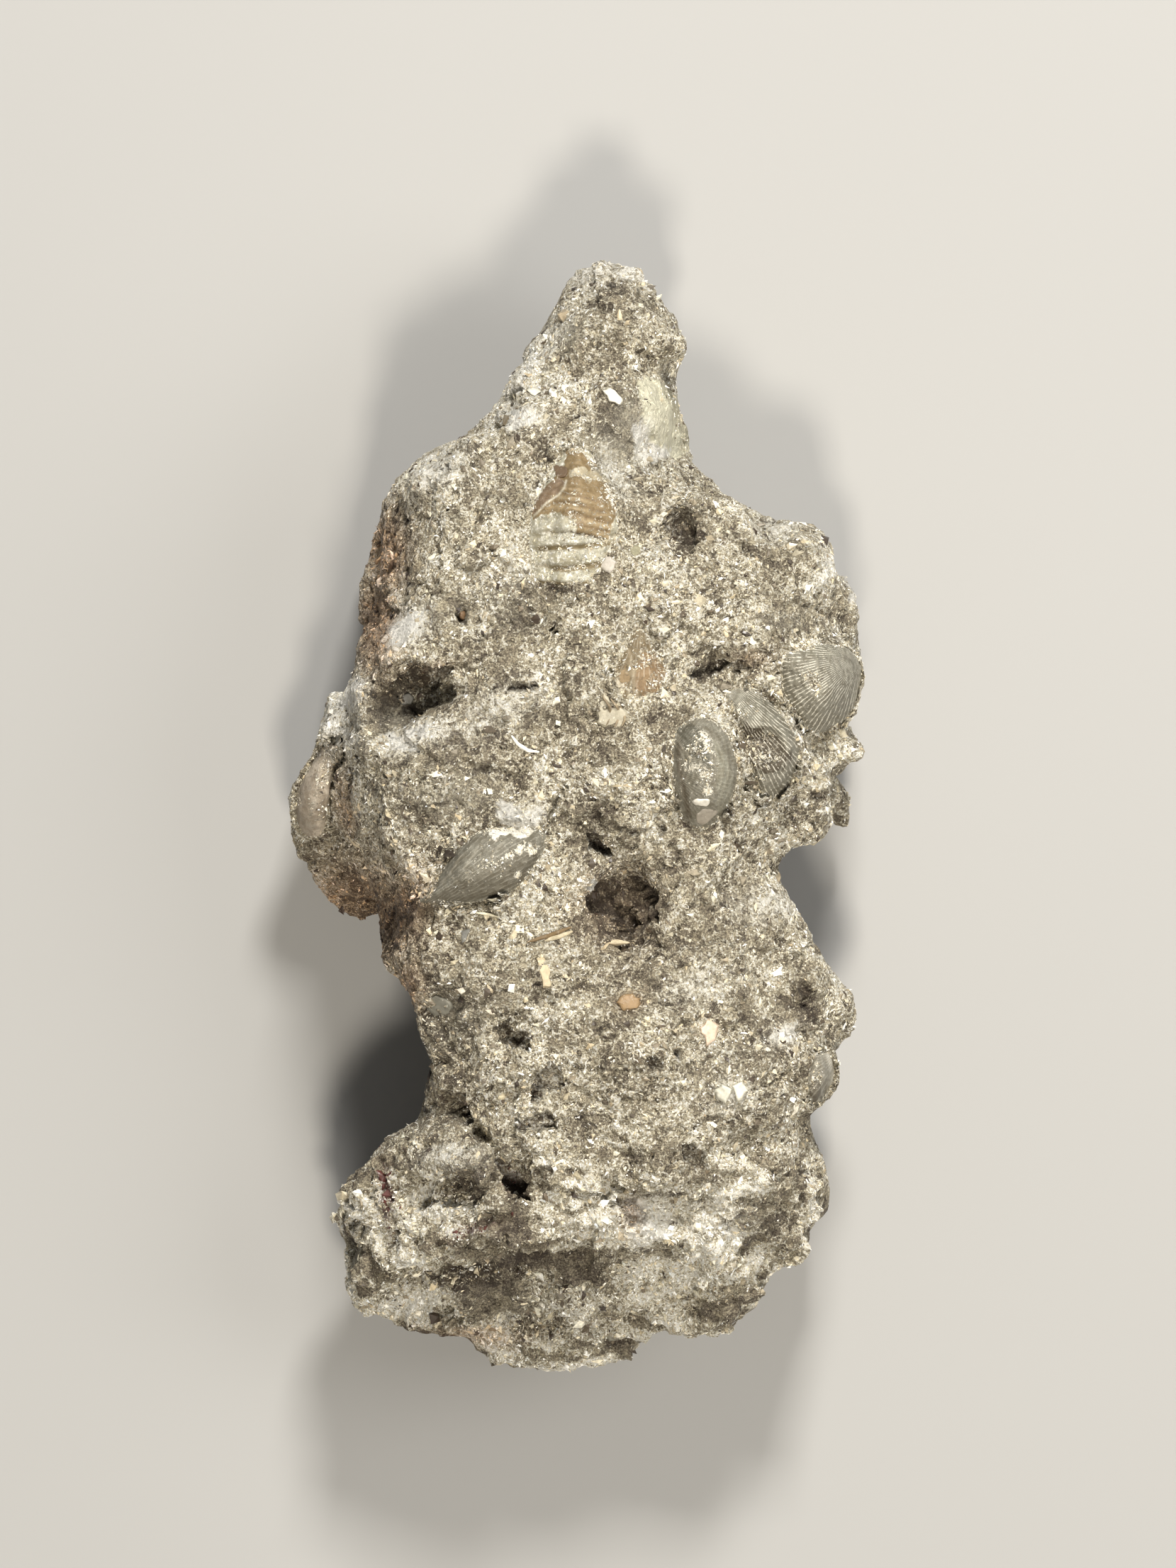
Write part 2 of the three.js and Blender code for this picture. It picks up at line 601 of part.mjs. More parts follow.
const shells = [
  {
    name: 'brachiopod_lower_left',
    rim: [
      [-13.0, -7.4], [-11.0, -7.6], [-8.6, -7.4], [-6.4, -6.9], [-5.0, -6.3], [-3.7, -4.7], [-2.8, -3.3],
      [-2.5, -2.1], [-3.2, -1.5], [-4.5, -1.4], [-7.3, -1.5], [-8.6, -2.1], [-10.0, -3.7], [-11.3, -5.2],
      [-12.0, -6.5],
    ],
    ridge: [[-12.6, -7.2], [-8.6, -5.1], [-7.1, -4.8], [-5.9, -4.2], [-2.9, -2.7]],
    rise: 1.9, sunk: 0.5, embed: 2.0, ribs: 0, material: 'grey',
  },
  {
    name: 'brachiopod_centre',
    rim: [
      [8.3, 6.7], [9.2, 7.4], [10.4, 7.7], [11.8, 7.0], [12.8, 5.3], [13.2, 3.7], [13.1, 2.2],
      [12.6, 0.7], [11.8, -0.6], [10.9, -1.3], [10.0, -1.4], [9.2, -1.0], [8.5, 0.3], [8.2, 2.0],
      [8.0, 4.1],
    ],
    ridge: [[10.6, 6.2], [11.3, 3.6], [11.0, 1.0]],
    rise: 1.7, sunk: 0.5, embed: 2.0, ribs: 0.05, material: 'grey',
  },
  {
    name: 'brachiopod_centre_right',
    rim: [
      [12.4, 9.6], [13.6, 10.1], [14.9, 10.0], [16.1, 8.8], [17.1, 7.6], [18.0, 6.0], [18.3, 4.8],
      [17.9, 3.1], [17.0, 1.6], [15.9, 0.9], [14.9, 2.2], [14.5, 3.8], [14.2, 5.5], [13.7, 7.1],
      [12.8, 8.5],
    ],
    ridge: [[14.4, 9.0], [15.6, 7.4], [16.5, 5.2], [16.4, 2.8]],
    rise: 1.5, sunk: 0.5, embed: 2.1, ribs: 0.07, material: 'grey',
    broken: [15.7, 5.4, 2.0, 1.5, 1.3],
  },
  {
    name: 'brachiopod_right_edge',
    rim: [
      [17.3, 12.9], [19.0, 13.1], [20.9, 13.4], [22.4, 13.0], [23.1, 12.4], [23.3, 11.5], [23.1, 10.3],
      [22.6, 8.9], [22.0, 7.8], [20.9, 7.4], [20.2, 6.9], [19.3, 7.3], [18.5, 8.3], [17.8, 9.4],
      [17.2, 11.2],
    ],
    ridge: [[18.4, 12.0], [20.2, 10.6], [21.4, 8.8]],
    rise: 1.4, sunk: 0.5, embed: 1.6, ribs: 0.1, material: 'grey',
  },
  {
    name: 'amber_shell_fragment',
    rim: [
      [5.2, 15.3], [5.9, 14.0], [6.5, 12.9], [7.4, 11.9], [6.9, 10.2], [5.7, 9.5], [4.5, 9.0],
      [3.5, 10.2], [3.2, 11.5], [4.2, 13.4],
    ],
    ridge: [[5.1, 14.6], [5.4, 11.6], [5.0, 9.8]],
    rise: 0.55, sunk: 0.3, embed: 1.6, ribs: 0, material: 'amber',
  },
  {
    name: 'shell_left_ledge',
    rim: [
      [-19.9, 5.2], [-21.2, 5.2], [-22.1, 3.5], [-23.1, 1.3], [-23.1, -0.9], [-22.4, -1.9],
      [-21.3, -1.9], [-20.8, 0.3], [-20.3, 3.0],
    ],
    ridge: [[-20.7, 4.4], [-21.6, 1.6], [-22.0, -0.8]],
    rise: 0.9, sunk: 0.5, embed: 1.6, ribs: 0, material: 'smooth',
  },
  {
    name: 'shell_lower_right_edge',
    rim: [
      [19.9, -20.4], [20.7, -20.1], [21.2, -20.8], [21.2, -21.9], [20.8, -23.0], [20.2, -24.0],
      [19.5, -24.0], [19.3, -22.6], [19.5, -21.3],
    ],
    ridge: [[20.4, -20.9], [20.4, -22.2], [20.0, -23.3]],
    rise: 0.9, sunk: 0.4, embed: 1.5, ribs: 0, material: 'pale',
  },
];
const SHELL_RIM_POINTS = 24;
const SHELL_RINGS = 4;
const SHELL_REACH_SHARE = 0.5;
const RIDGE_SHARE_AT_FOOT = 0.62;
const RIB_FADE_FROM = 0.1;
const RIB_FADE_TO = 0.6;
const DENT_SIDES = 12;
const DENT_TILT = 0.3;
const DENT_ABOVE_RIM = 1.0;

function distanceToLine(x, y, line) {
  let nearest = Infinity;
  for (let i = 0; i + 1 < line.length; i++) {
    const [ax, ay] = line[i];
    const [bx, by] = line[i + 1];
    const [ex, ey] = [bx - ax, by - ay];
    const along = clamp(((x - ax) * ex + (y - ay) * ey) / (ex * ex + ey * ey), 0, 1);
    nearest = Math.min(nearest, Math.hypot(x - ax - along * ex, y - ay - along * ey));
  }
  return nearest;
}

function domeShare(x, y, share, ridge, reach) {
  const fromRim = Math.sqrt(Math.max(0, 1 - share * share));
  const keel = 1 - smoothstep(distanceToLine(x, y, ridge), 0, reach);
  return fromRim * lerp(RIDGE_SHARE_AT_FOOT, 1, keel);
}

function shellSolid(shell) {
  const rim = smoothRim(shell.rim, SHELL_RIM_POINTS);
  const middle = middleOf(rim);
  const reach = SHELL_REACH_SHARE * Math.max(...rim.map((p) => p.distanceTo(middle)));
  const topAt = (x, y, share, i) => {
    const dome = (shell.rise + shell.sunk) * domeShare(x, y, share, shell.ridge, reach);
    const rib = shell.ribs * (i % 2 ? 1 : -1) * smoothstep(share, RIB_FADE_FROM, RIB_FADE_TO);
    return skinHeight(x, y) - shell.sunk + dome + rib;
  };
  const floorAt = (x, y) => skinHeight(x, y) - shell.embed;
  let solid = solidUnderRings(rim, middle, SHELL_RINGS, topAt, floorAt);
  if (shell.broken) solid = solid.subtract(dent(shell.broken));
  return solid;
}

// The room that a piece needs in the rock: its rim set out by the gap, open above, a gap below its floor

function pocketFor(points, embed) {
  const rim = smoothRim(points, SHELL_RIM_POINTS);
  const grown = smoothRim(points, SHELL_RIM_POINTS, GAP);
  const above = (x, y) => skinHeight(x, y) + POCKET_CLEARANCE_ABOVE;
  const floors = rim.map((p, i) => Math.min(skinHeight(p.x, p.y), skinHeight(grown[i].x, grown[i].y)));
  const below = embed + POCKET_CLEARANCE_BELOW;
  const floorAt = (x, y, i) => (i < floors.length ? floors[i] : skinHeight(x, y)) - below;
  return solidUnderRings(grown, middleOf(grown), 1, above, floorAt);
}

function dent([x, y, reachX, reachY, depth]) {
  const ball = new THREE.SphereGeometry(1, DENT_SIDES, DENT_SIDES / 2);
  ball.scale(reachX, reachY, depth);
  ball.rotateX(DENT_TILT);
  ball.translate(x, y, skinHeight(x, y) + DENT_ABOVE_RIM);
  return solidFromGeometry(ball);
}

function solidFromGeometry(geometry) {
  const positions = [];
  const numbers = new Map();
  const source = geometry.getAttribute('position');
  const triangles = [];
  for (const v of geometry.getIndex().array) {
    const key = [source.getX(v), source.getY(v), source.getZ(v)].map((n) => n.toFixed(4)).join(' ');
    if (!numbers.has(key)) {
      numbers.set(key, positions.length / 3);
      positions.push(source.getX(v), source.getY(v), source.getZ(v));
    }
    triangles.push(numbers.get(key));
  }
  const whole = [];
  for (let t = 0; t < triangles.length; t += 3) {
    const [a, b, c] = triangles.slice(t, t + 3);
    if (a !== b && b !== c && c !== a) whole.push(a, b, c);
  }
  return solidFrom({ positions, triangles: whole });
}

// Trilobite tail shield. Its tip points along +Y; a raised axis runs between two side lobes, and ribs
// cross all three, closer together towards the tip.

const SHIELD_FRONT_Y = 18.8;
const SHIELD_TIP_Y = 29.8;
const shieldLeft = [
  [18.8, -2.9], [19.4, -3.5], [20.3, -3.8], [22.0, -3.85], [23.8, -3.7], [25.6, -3.4], [26.7, -2.7],
  [28.0, -1.8], [29.1, -1.2], [29.8, -0.8],
];
const shieldRight = [
  [18.8, 1.5], [19.6, 1.9], [21.0, 2.3], [22.0, 2.8], [23.5, 3.4], [25.3, 3.3], [26.7, 2.6],
  [28.4, 1.6], [29.4, 1.3], [29.8, 0.8],
];
const SHIELD_RISE = 0.75;
const SHIELD_SUNK = 0.3;
const SHIELD_EMBED = 1.6;
const AXIS_HALF_WIDTH = 0.36;
const AXIS_RISE = 0.75;
const AXIS_TIP_FADE = 0.7;
const RIB_FIRST_Y = 19.4;
const RIB_FIRST_SPACING = 1.65;
const RIB_SPACING_SHRINK = 0.86;
const RIB_LEAST_TRAVEL = 0.08;
const RIB_HEIGHT = 0.2;
const RIB_SWEEP = 0.7;
const RIB_LOBE_FADE = 0.5;
const SHIELD_TIP_FADE = 2.4;
const SHIELD_ROWS = 33;
const SHIELD_COLUMNS = 12;

function ribPhase(y) {
  const travelled = 1 - ((y - RIB_FIRST_Y) * (1 - RIB_SPACING_SHRINK)) / RIB_FIRST_SPACING;
  return Math.log(Math.max(travelled, RIB_LEAST_TRAVEL)) / Math.log(RIB_SPACING_SHRINK);
}

function shieldTop(x, y, across) {
  const lobe = Math.sqrt(Math.max(0, 1 - across * across));
  const axis = Math.sqrt(Math.max(0, 1 - (across / AXIS_HALF_WIDTH) ** 2));
  const towardsTip = smoothstep(y, SHIELD_TIP_Y - SHIELD_TIP_FADE, SHIELD_TIP_Y);
  const swept = y + RIB_SWEEP * Math.max(0, Math.abs(across) - AXIS_HALF_WIDTH);
  const rib = RIB_HEIGHT * Math.cos(2 * Math.PI * ribPhase(swept)) * smoothstep(lobe, 0, RIB_LOBE_FADE);
  const body = SHIELD_RISE * lobe + AXIS_RISE * axis * (1 - AXIS_TIP_FADE * towardsTip);
  return skinHeight(x, y) - SHIELD_SUNK + body + rib * (1 - towardsTip);
}

function shieldRows() {
  return Array.from({ length: SHIELD_ROWS + 1 }, (_, i) => {
    const y = lerp(SHIELD_FRONT_Y, SHIELD_TIP_Y, i / SHIELD_ROWS);
    return Array.from({ length: SHIELD_COLUMNS + 1 }, (_, j) => {
      const across = (2 * j) / SHIELD_COLUMNS - 1;
      const x = lerp(between(shieldLeft, y), between(shieldRight, y), j / SHIELD_COLUMNS);
      return new THREE.Vector3(x, y, shieldTop(x, y, across));
    });
  });
}

const shieldRim = [
  ...shieldLeft.map(([y, x]) => [x, y]),
  ...shieldRight.map(([y, x]) => [x, y]).reverse(),
];

// A V-shaped groove along a crack, its ends tapering off

const CRACK_END_TAPER = 0.3;

function crackGroove(line) {
  const sections = line.map(([x, y], i) => {
    const before = line[Math.max(0, i - 1)];
    const after = line[Math.min(line.length - 1, i + 1)];
    const along = new THREE.Vector2(after[0] - before[0], after[1] - before[1]).normalize();
    const taper = i === 0 || i === line.length - 1 ? CRACK_END_TAPER : 1;
    const side = new THREE.Vector2(-along.y, along.x).multiplyScalar((taper * CRACK_WIDTH) / 2);
    const top = faceHeight(x, y) + POCKET_CLEARANCE_ABOVE / 2;
    const spread = 1 + POCKET_CLEARANCE_ABOVE / 2 / (CRACK_DEPTH * taper);
    return [
      new THREE.Vector3(x + side.x * spread, y + side.y * spread, top),
      new THREE.Vector3(x - side.x * spread, y - side.y * spread, top),
      new THREE.Vector3(x, y, faceHeight(x, y) - CRACK_DEPTH * taper),
    ];
  });
  const positions = sections.flat().flatMap((p) => p.toArray());
  const triangles = [0, 1, 2];
  for (let i = 0; i + 1 < sections.length; i++) {
    for (let side = 0; side < 3; side++) {
      const a = 3 * i + side;
      const b = 3 * i + ((side + 1) % 3);
      triangles.push(a, a + 3, b + 3, a, b + 3, b);
    }
  }
  const last = 3 * (sections.length - 1);
  triangles.push(last, last + 2, last + 1);
  return solidFrom({ positions, triangles });
}

// Everything under the resting plane, to be cut away

function underRestPlane() {
  const block = new THREE.BoxGeometry(2 * ROCK_WIDTH, 2 * ROCK_LENGTH, 2 * MARGIN);
  block.translate(0, 0, -MARGIN);
  return solidFromGeometry(block);
}

// Materials

const materials = {
  stone: new THREE.MeshStandardMaterial({ color: '#b3a98b', roughness: 0.9, metalness: 0 }),
  shield: new THREE.MeshStandardMaterial({ color: '#b39870', roughness: 0.5, metalness: 0 }),
  grey: new THREE.MeshStandardMaterial({ color: '#8c8a80', roughness: 0.5, metalness: 0 }),
  amber: new THREE.MeshStandardMaterial({ color: '#a88e6c', roughness: 0.4, metalness: 0 }),
  smooth: new THREE.MeshStandardMaterial({ color: '#a19a90', roughness: 0.45, metalness: 0 }),
  pale: new THREE.MeshStandardMaterial({ color: '#c4c0b4', roughness: 0.5, metalness: 0 }),
};

// The whole specimen

function buildSpecimen() {
  let rock = solidFrom(surfaceOfField(rockDepth)).subtract(underRestPlane());
  for (const crack of [footCrack, upperCrack]) rock = rock.subtract(crackGroove(crack));
  for (const shell of shells) rock = rock.subtract(pocketFor(shell.rim, shell.embed));
  rock = rock.subtract(pocketFor(shieldRim, SHIELD_EMBED));
  const specimen = new THREE.Group();
  specimen.add(meshFrom(rock, 'limestone_matrix', materials.stone));
  const shieldFloor = (x, y) => skinHeight(x, y) - SHIELD_EMBED;
  const shield = solidUnderRows(shieldRows(), shieldFloor);
  specimen.add(meshFrom(shield, 'trilobite_tail_shield', materials.shield));
  for (const shell of shells) {
    specimen.add(meshFrom(shellSolid(shell), shell.name, materials[shell.material]));
  }
  const box = new THREE.Box3().setFromObject(specimen);
  const middle = box.getCenter(new THREE.Vector3());
  for (const piece of specimen.children) piece.geometry.translate(-middle.x, -middle.y, -box.min.z);
  return specimen;
}

export default buildSpecimen();
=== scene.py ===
"""The looks of a trilobite fossil in its loose limestone: rock, shells, crumbs, studio and camera.

Places on the fossil face are read as photo pixels, and plan_of turns them into millimetres of the plan.
"""

import itertools
import math

import bmesh
import bpy
import numpy as np
from mathutils import Matrix, Quaternion, Vector
from mathutils.bvhtree import BVHTree


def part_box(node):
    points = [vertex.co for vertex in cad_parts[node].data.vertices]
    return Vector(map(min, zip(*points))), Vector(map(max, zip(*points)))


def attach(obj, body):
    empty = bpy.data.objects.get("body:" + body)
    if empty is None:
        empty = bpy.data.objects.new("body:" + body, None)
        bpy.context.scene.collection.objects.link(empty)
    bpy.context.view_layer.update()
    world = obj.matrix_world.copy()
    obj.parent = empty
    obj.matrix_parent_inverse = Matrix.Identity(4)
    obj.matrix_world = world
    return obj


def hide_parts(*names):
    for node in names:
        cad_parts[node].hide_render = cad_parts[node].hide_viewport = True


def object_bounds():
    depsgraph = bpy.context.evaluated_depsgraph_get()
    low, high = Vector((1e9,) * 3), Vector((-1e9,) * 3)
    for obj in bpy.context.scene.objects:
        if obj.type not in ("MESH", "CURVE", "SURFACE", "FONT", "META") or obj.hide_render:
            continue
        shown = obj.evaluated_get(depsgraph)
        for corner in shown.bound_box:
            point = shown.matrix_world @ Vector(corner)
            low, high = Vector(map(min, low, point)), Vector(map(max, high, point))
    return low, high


bl_info = {
    "name": "Trilobite fossil in limestone",
    "version": (1, 0, 0),
    "blender": (4, 5, 0),
    "location": "View3D > Sidebar > Fossil",
    "description": "Dresses a packed trilobite fossil with rock grain, shells and crumbs",
    "category": "Object",
}

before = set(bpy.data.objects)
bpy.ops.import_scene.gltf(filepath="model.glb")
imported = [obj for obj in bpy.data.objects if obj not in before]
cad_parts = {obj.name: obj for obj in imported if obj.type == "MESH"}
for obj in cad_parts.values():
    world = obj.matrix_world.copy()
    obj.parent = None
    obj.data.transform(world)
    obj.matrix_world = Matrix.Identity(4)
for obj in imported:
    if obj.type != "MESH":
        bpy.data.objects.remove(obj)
CAD_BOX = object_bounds()

# Scale of the plan. The tail shield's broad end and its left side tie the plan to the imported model.
MM = 0.001
PIXELS_PER_MM = 17.0
PLAN_MIDDLE_PX = (813.25, 1144.5)
SHIELD_LEFT_MM = -3.85
SHIELD_FRONT_MM = 18.8
SHIELD_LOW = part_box("trilobite_tail_shield")[0]
PLAN_SHIFT = (SHIELD_LOW.x / MM - SHIELD_LEFT_MM, SHIELD_LOW.y / MM - SHIELD_FRONT_MM)
ABOVE_ALL = 2 * CAD_BOX[1].z / MM


def plan_of(px, py):
    """The plan place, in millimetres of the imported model, of a photo pixel."""
    return (
        (px - PLAN_MIDDLE_PX[0]) / PIXELS_PER_MM + PLAN_SHIFT[0],
        (PLAN_MIDDLE_PX[1] - py) / PIXELS_PER_MM + PLAN_SHIFT[1],
    )


# Repeatable noise, on arrays of points in millimetres


# Large odd factors that scatter whole numbers, and the largest number that is kept of the result
SCATTER_CELL = (374761393, 668265263, 2147483647)
SCATTER_SEED = 1442695041
SCATTER_AGAIN = 1274126177
LARGEST = 0xFFFFFF


def cell_random(cells, seed):
    """A repeatable number from 0 to 1 for each whole-numbered cell."""
    n = cells.astype(np.int64) @ np.array(SCATTER_CELL, np.int64) + seed * SCATTER_SEED
    n = (n ^ (n >> 13)) * SCATTER_AGAIN
    n = n ^ (n >> 16)
    return (n & LARGEST) / float(LARGEST)


def in_three(noise, *field, seed):
    """A noise for each of the three axes."""
    return np.stack([noise(*field, seed + axis) for axis in range(3)], axis=1)


def soft_noise(points, size, seed):
    """Smooth noise from -1 to 1, whose swells are about size across."""
    p = points / size
    base = np.floor(p)
    t = p - base
    t = t * t * (3 - 2 * t)
    total = np.zeros(len(p))
    for corner in itertools.product((0, 1), repeat=3):
        share = np.prod(np.where(np.array(corner) == 1, t, 1 - t), axis=1)
        total += share * cell_random(base + corner, seed)
    return 2 * total - 1


def broken_faces(points, size, seed, tilt):
    """Flat broken faces about size across, each at its own height and tilt. Gives each point's height,
    how near it is to a crack between two faces, from 0 to 1, and its distance from its face's middle."""
    p = points / size
    base = np.floor(p)
    nearest = np.full(len(p), 9.0)
    second = np.full(len(p), 9.0)
    height = np.zeros(len(p))
    for offset in itertools.product((-1, 0, 1), repeat=3):
        cell = base + offset
        away = p - cell - in_three(cell_random, cell, seed=seed)
        distance = np.linalg.norm(away, axis=1)
        lean = in_three(cell_random, cell, seed=seed + 3) - 0.5
        level = cell_random(cell, seed + 6) - 0.5 + 2 * tilt * np.sum(lean * away, axis=1)
        closer = distance < nearest
        second = np.where(closer, nearest, np.minimum(second, distance))
        height = np.where(closer, level, height)
        nearest = np.where(closer, distance, nearest)
    return height, np.exp(-12 * (second - nearest)), nearest


def ease(values, low, high):
    """0 below low, 1 above high and a smooth turn between them."""
    t = np.clip((values - low) / (high - low), 0, 1)
    return t * t * (3 - 2 * t)


def bell(points, px, py, reach_x, reach_y, turn=0.0):
    """1 at a photo pixel's place in the plan, falling off over the reaches, in millimetres."""
    x, y = plan_of(px, py)
    dx = points[:, 0] - x
    dy = points[:, 1] - y
    c, s = math.cos(turn), math.sin(turn)
    return np.exp(-(((c * dx + s * dy) / reach_x) ** 2) - ((c * dy - s * dx) / reach_y) ** 2)


def bowl(points, px, py, reach_x, reach_y, turn):
    """Like bell, with a flatter middle and steeper sides."""
    return np.exp(-np.log(np.maximum(bell(points, px, py, reach_x, reach_y, turn), 1e-30)) ** 2)


def near_line(points, line, width):
    """1 on a line of photo pixels, falling off over width millimetres."""
    nearest = np.full(len(points), 1e9)
    places = [np.array(plan_of(px, py)) for px, py in line]
    for a, b in zip(places, places[1:]):
        along = b - a
        t = np.clip(((points[:, :2] - a) @ along) / (along @ along), 0, 1)
        off = points[:, :2] - a - t[:, None] * along
        nearest = np.minimum(nearest, np.linalg.norm(off, axis=1))
    return np.exp(-((nearest / width) ** 2))


def inside(points, corners, ragged):
    """1 inside a closed line through photo pixels and 0 outside it, with a ragged edge."""
    x = points[:, 0] + ragged * soft_noise(points, 0.5, 63)
    y = points[:, 1] + ragged * soft_noise(points, 0.5, 64)
    places = [plan_of(px, py) for px, py in corners]
    crossings = np.zeros(len(points), int)
    for (ax, ay), (bx, by) in zip(places, places[1:] + places[:1]):
        slope = (bx - ax) / (by - ay) if by != ay else 0.0
        crossings += ((ay > y) != (by > y)) & (x < ax + (y - ay) * slope)
    return crossings % 2


def painted(points, base, coats):
    """A colour for each point: the base, then each coat over its area or along its line."""
    colours = np.tile(np.array(base, float), (len(points), 1))
    for kind, colour, places, spread, strength in coats:
        cover = inside(points, places, spread) if kind == "area" else near_line(points, places, spread)
        share = strength * cover[:, None]
        colours = colours * (1 - share) + share * np.array(colour)
    return colours


# Meshes


def threes(items, name, kind=float):
    """The three numbers that each item holds under a name, as rows of an array."""
    values = np.empty(len(items) * 3, kind)
    items.foreach_get(name, values)
    return values.reshape(-1, 3)


def coordinates(mesh):
    """A mesh's vertices as an array, in millimetres."""
    return threes(mesh.vertices, "co") / MM


def normals(mesh):
    """A mesh's vertex normals as an array."""
    return threes(mesh.vertex_normals, "vector")


def set_coordinates(mesh, points):
    """Moves a mesh's vertices to points, given in millimetres."""
    mesh.vertices.foreach_set("co", (points * MM).astype(np.float32).ravel())
    mesh.update()


def add_values(mesh, name, values):
    """Stores one number for each vertex, which materials read by name."""
    attribute = mesh.attributes.new(name, "FLOAT", "POINT")
    attribute.data.foreach_set("value", np.asarray(values, np.float32))


def add_colours(mesh, name, colours):
    """Stores one colour for each vertex, which materials read by name."""
    attribute = mesh.attributes.new(name, "FLOAT_COLOR", "POINT")
    full = np.ones((len(colours), 4), np.float32)
    full[:, :3] = colours
    attribute.data.foreach_set("color", full.ravel())


def mesh_of(name, points, faces, smooth=False):
    """A mesh of triangles, with its points in millimetres."""
    mesh = bpy.data.meshes.new(name)
    mesh.vertices.add(len(points))
    mesh.vertices.foreach_set("co", (points * MM).astype(np.float32).ravel())
    mesh.loops.add(faces.size)
    mesh.loops.foreach_set("vertex_index", faces.astype(np.int32).ravel())
    mesh.polygons.add(len(faces))
    mesh.polygons.foreach_set("loop_start", np.arange(0, faces.size, 3, dtype=np.int32))
    mesh.polygons.foreach_set("use_smooth", np.full(len(faces), smooth))
    mesh.update(calc_edges=True)
    return mesh


def triangles_of(mesh):
    """The corner numbers of a mesh's triangles."""
    mesh.calc_loop_triangles()
    return threes(mesh.loop_triangles, "vertices", np.int32)


class Surface:
    """Finds heights on pieces from above, in millimetres."""

    def __init__(self, pieces):
        points = []
        faces = []
        for piece in pieces:
            faces.append(triangles_of(piece.data) + sum(len(part) for part in points))
            points.append(coordinates(piece.data))
        self.tree = BVHTree.FromPolygons(np.concatenate(points).tolist(), np.concatenate(faces).tolist())

    def heights(self, places, missing=0.0):
        """The height of the surface over each place of the plan."""
        down = Vector((0, 0, -1))
        found = (self.tree.ray_cast(Vector((x, y, ABOVE_ALL)), down)[0] for x, y in places)
        return np.array([missing if spot is None else spot.z for spot in found])

    def at_edge(self, points, reach):
        """Whether the surface over each point ends within reach of it in the plan."""
        found = np.zeros(len(points), bool)
        for turn in np.linspace(0, math.tau, 8, endpoint=False):
            beside = points[:, :2] + (reach * math.cos(turn), reach * math.sin(turn))
            found |= self.heights(beside, missing=ABOVE_ALL) > ABOVE_ALL / 2
        return found

    def banked(self, points, steps, lip, fall, rise):
        """The heights of points beside the surface, held near the level of its rim, which is looked for at
        growing steps away. lip is how far they may be off beside the rim, fall and rise are slopes."""
        near = [self.tree.find_nearest(Vector(point), steps[-1])[0] is not None for point in points]
        near = np.flatnonzero(near)
        rim = np.full(len(near), ABOVE_ALL)
        gap = np.zeros(len(near))
        for step in steps:
            found = np.full(len(near), ABOVE_ALL)
            for turn in np.linspace(0, math.tau, 12, endpoint=False):
                beside = points[near, :2] + (step * math.cos(turn), step * math.sin(turn))
                found = np.minimum(found, self.heights(beside, missing=ABOVE_ALL))
            first = (rim == ABOVE_ALL) & (found < ABOVE_ALL)
            rim[first] = found[first]
            gap[first] = step
        levels = points[:, 2].copy()
        held = rim < ABOVE_ALL
        near, rim, gap = near[held], rim[held], gap[held]
        levels[near] = np.clip(levels[near], rim - lip - fall * gap, rim + lip + rise * gap)
        return levels

    def covers(self, points):
        """Whether anything lies straight above each point."""
        up = Vector((0, 0, 1))
        return np.array([self.tree.ray_cast(Vector(point), up)[0] is not None for point in points])


def placed(name, data):
    """A new object in the scene."""
    thing = bpy.data.objects.new(name, data)
    bpy.context.scene.collection.objects.link(thing)
    return thing


def new_piece(name, mesh, slot, replaced=()):
    """A piece of the specimen: it rides on the one body and stands for the nodes it replaces."""
    piece = placed(name, mesh)
    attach(piece, "root")
    if replaced:
        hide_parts(*replaced)
    return piece


def grown_copy(node, outwards, down):
    """A CAD node's corners, set out from its middle in the plan and lowered, in metres, and its faces."""
    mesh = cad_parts[node].data
    points = coordinates(mesh)
    middle = (points.min(axis=0) + points.max(axis=0)) / 2
    away = points[:, :2] - middle[:2]
    length = np.maximum(np.linalg.norm(away, axis=1, keepdims=True), MM)
    points[:, :2] += outwards * away / length
    points[:, 2] -= down
    return points * MM, [tuple(face.vertices) for face in mesh.polygons]


def remeshed(node, step, rounds, fillers=(), lumps=()):
    """A copy of a CAD node's mesh, joined with the fillers and the egg-shaped lumps, remeshed evenly at
    step millimetres and smoothed."""
    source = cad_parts[node].data.copy()
    work = bmesh.new()
    work.from_mesh(source)
    for points, faces in fillers:
        corners = [work.verts.new(point) for point in points]
        for face in faces:
            work.faces.new([corners[index] for index in face])
    for px, py, level, reach_x, reach_y, reach_z, turn in lumps:
        x, y = plan_of(px, py)
        spin = Quaternion((0, 0, 1), turn)
        place = Matrix.LocRotScale(
            Vector((x, y, level)) * MM, spin, Vector((reach_x, reach_y, reach_z)) * MM)
        bmesh.ops.create_icosphere(work, subdivisions=3, radius=1.0, matrix=place)
    bmesh.ops.remove_doubles(work, verts=work.verts, dist=MM / 1000)
    work.to_mesh(source)
    work.free()
    holder = placed("even mesh", source)
    even = holder.modifiers.new("Even mesh", "REMESH")
    even.mode = "VOXEL"
    even.voxel_size = step * MM
    smooth = holder.modifiers.new("Smooth", "SMOOTH")
    smooth.iterations = rounds
    smooth.factor = 0.5
    shaped = holder.evaluated_get(bpy.context.evaluated_depsgraph_get())
    mesh = bpy.data.meshes.new_from_object(shaped)
    bpy.data.objects.remove(holder)
    mesh.materials.clear()
    return mesh


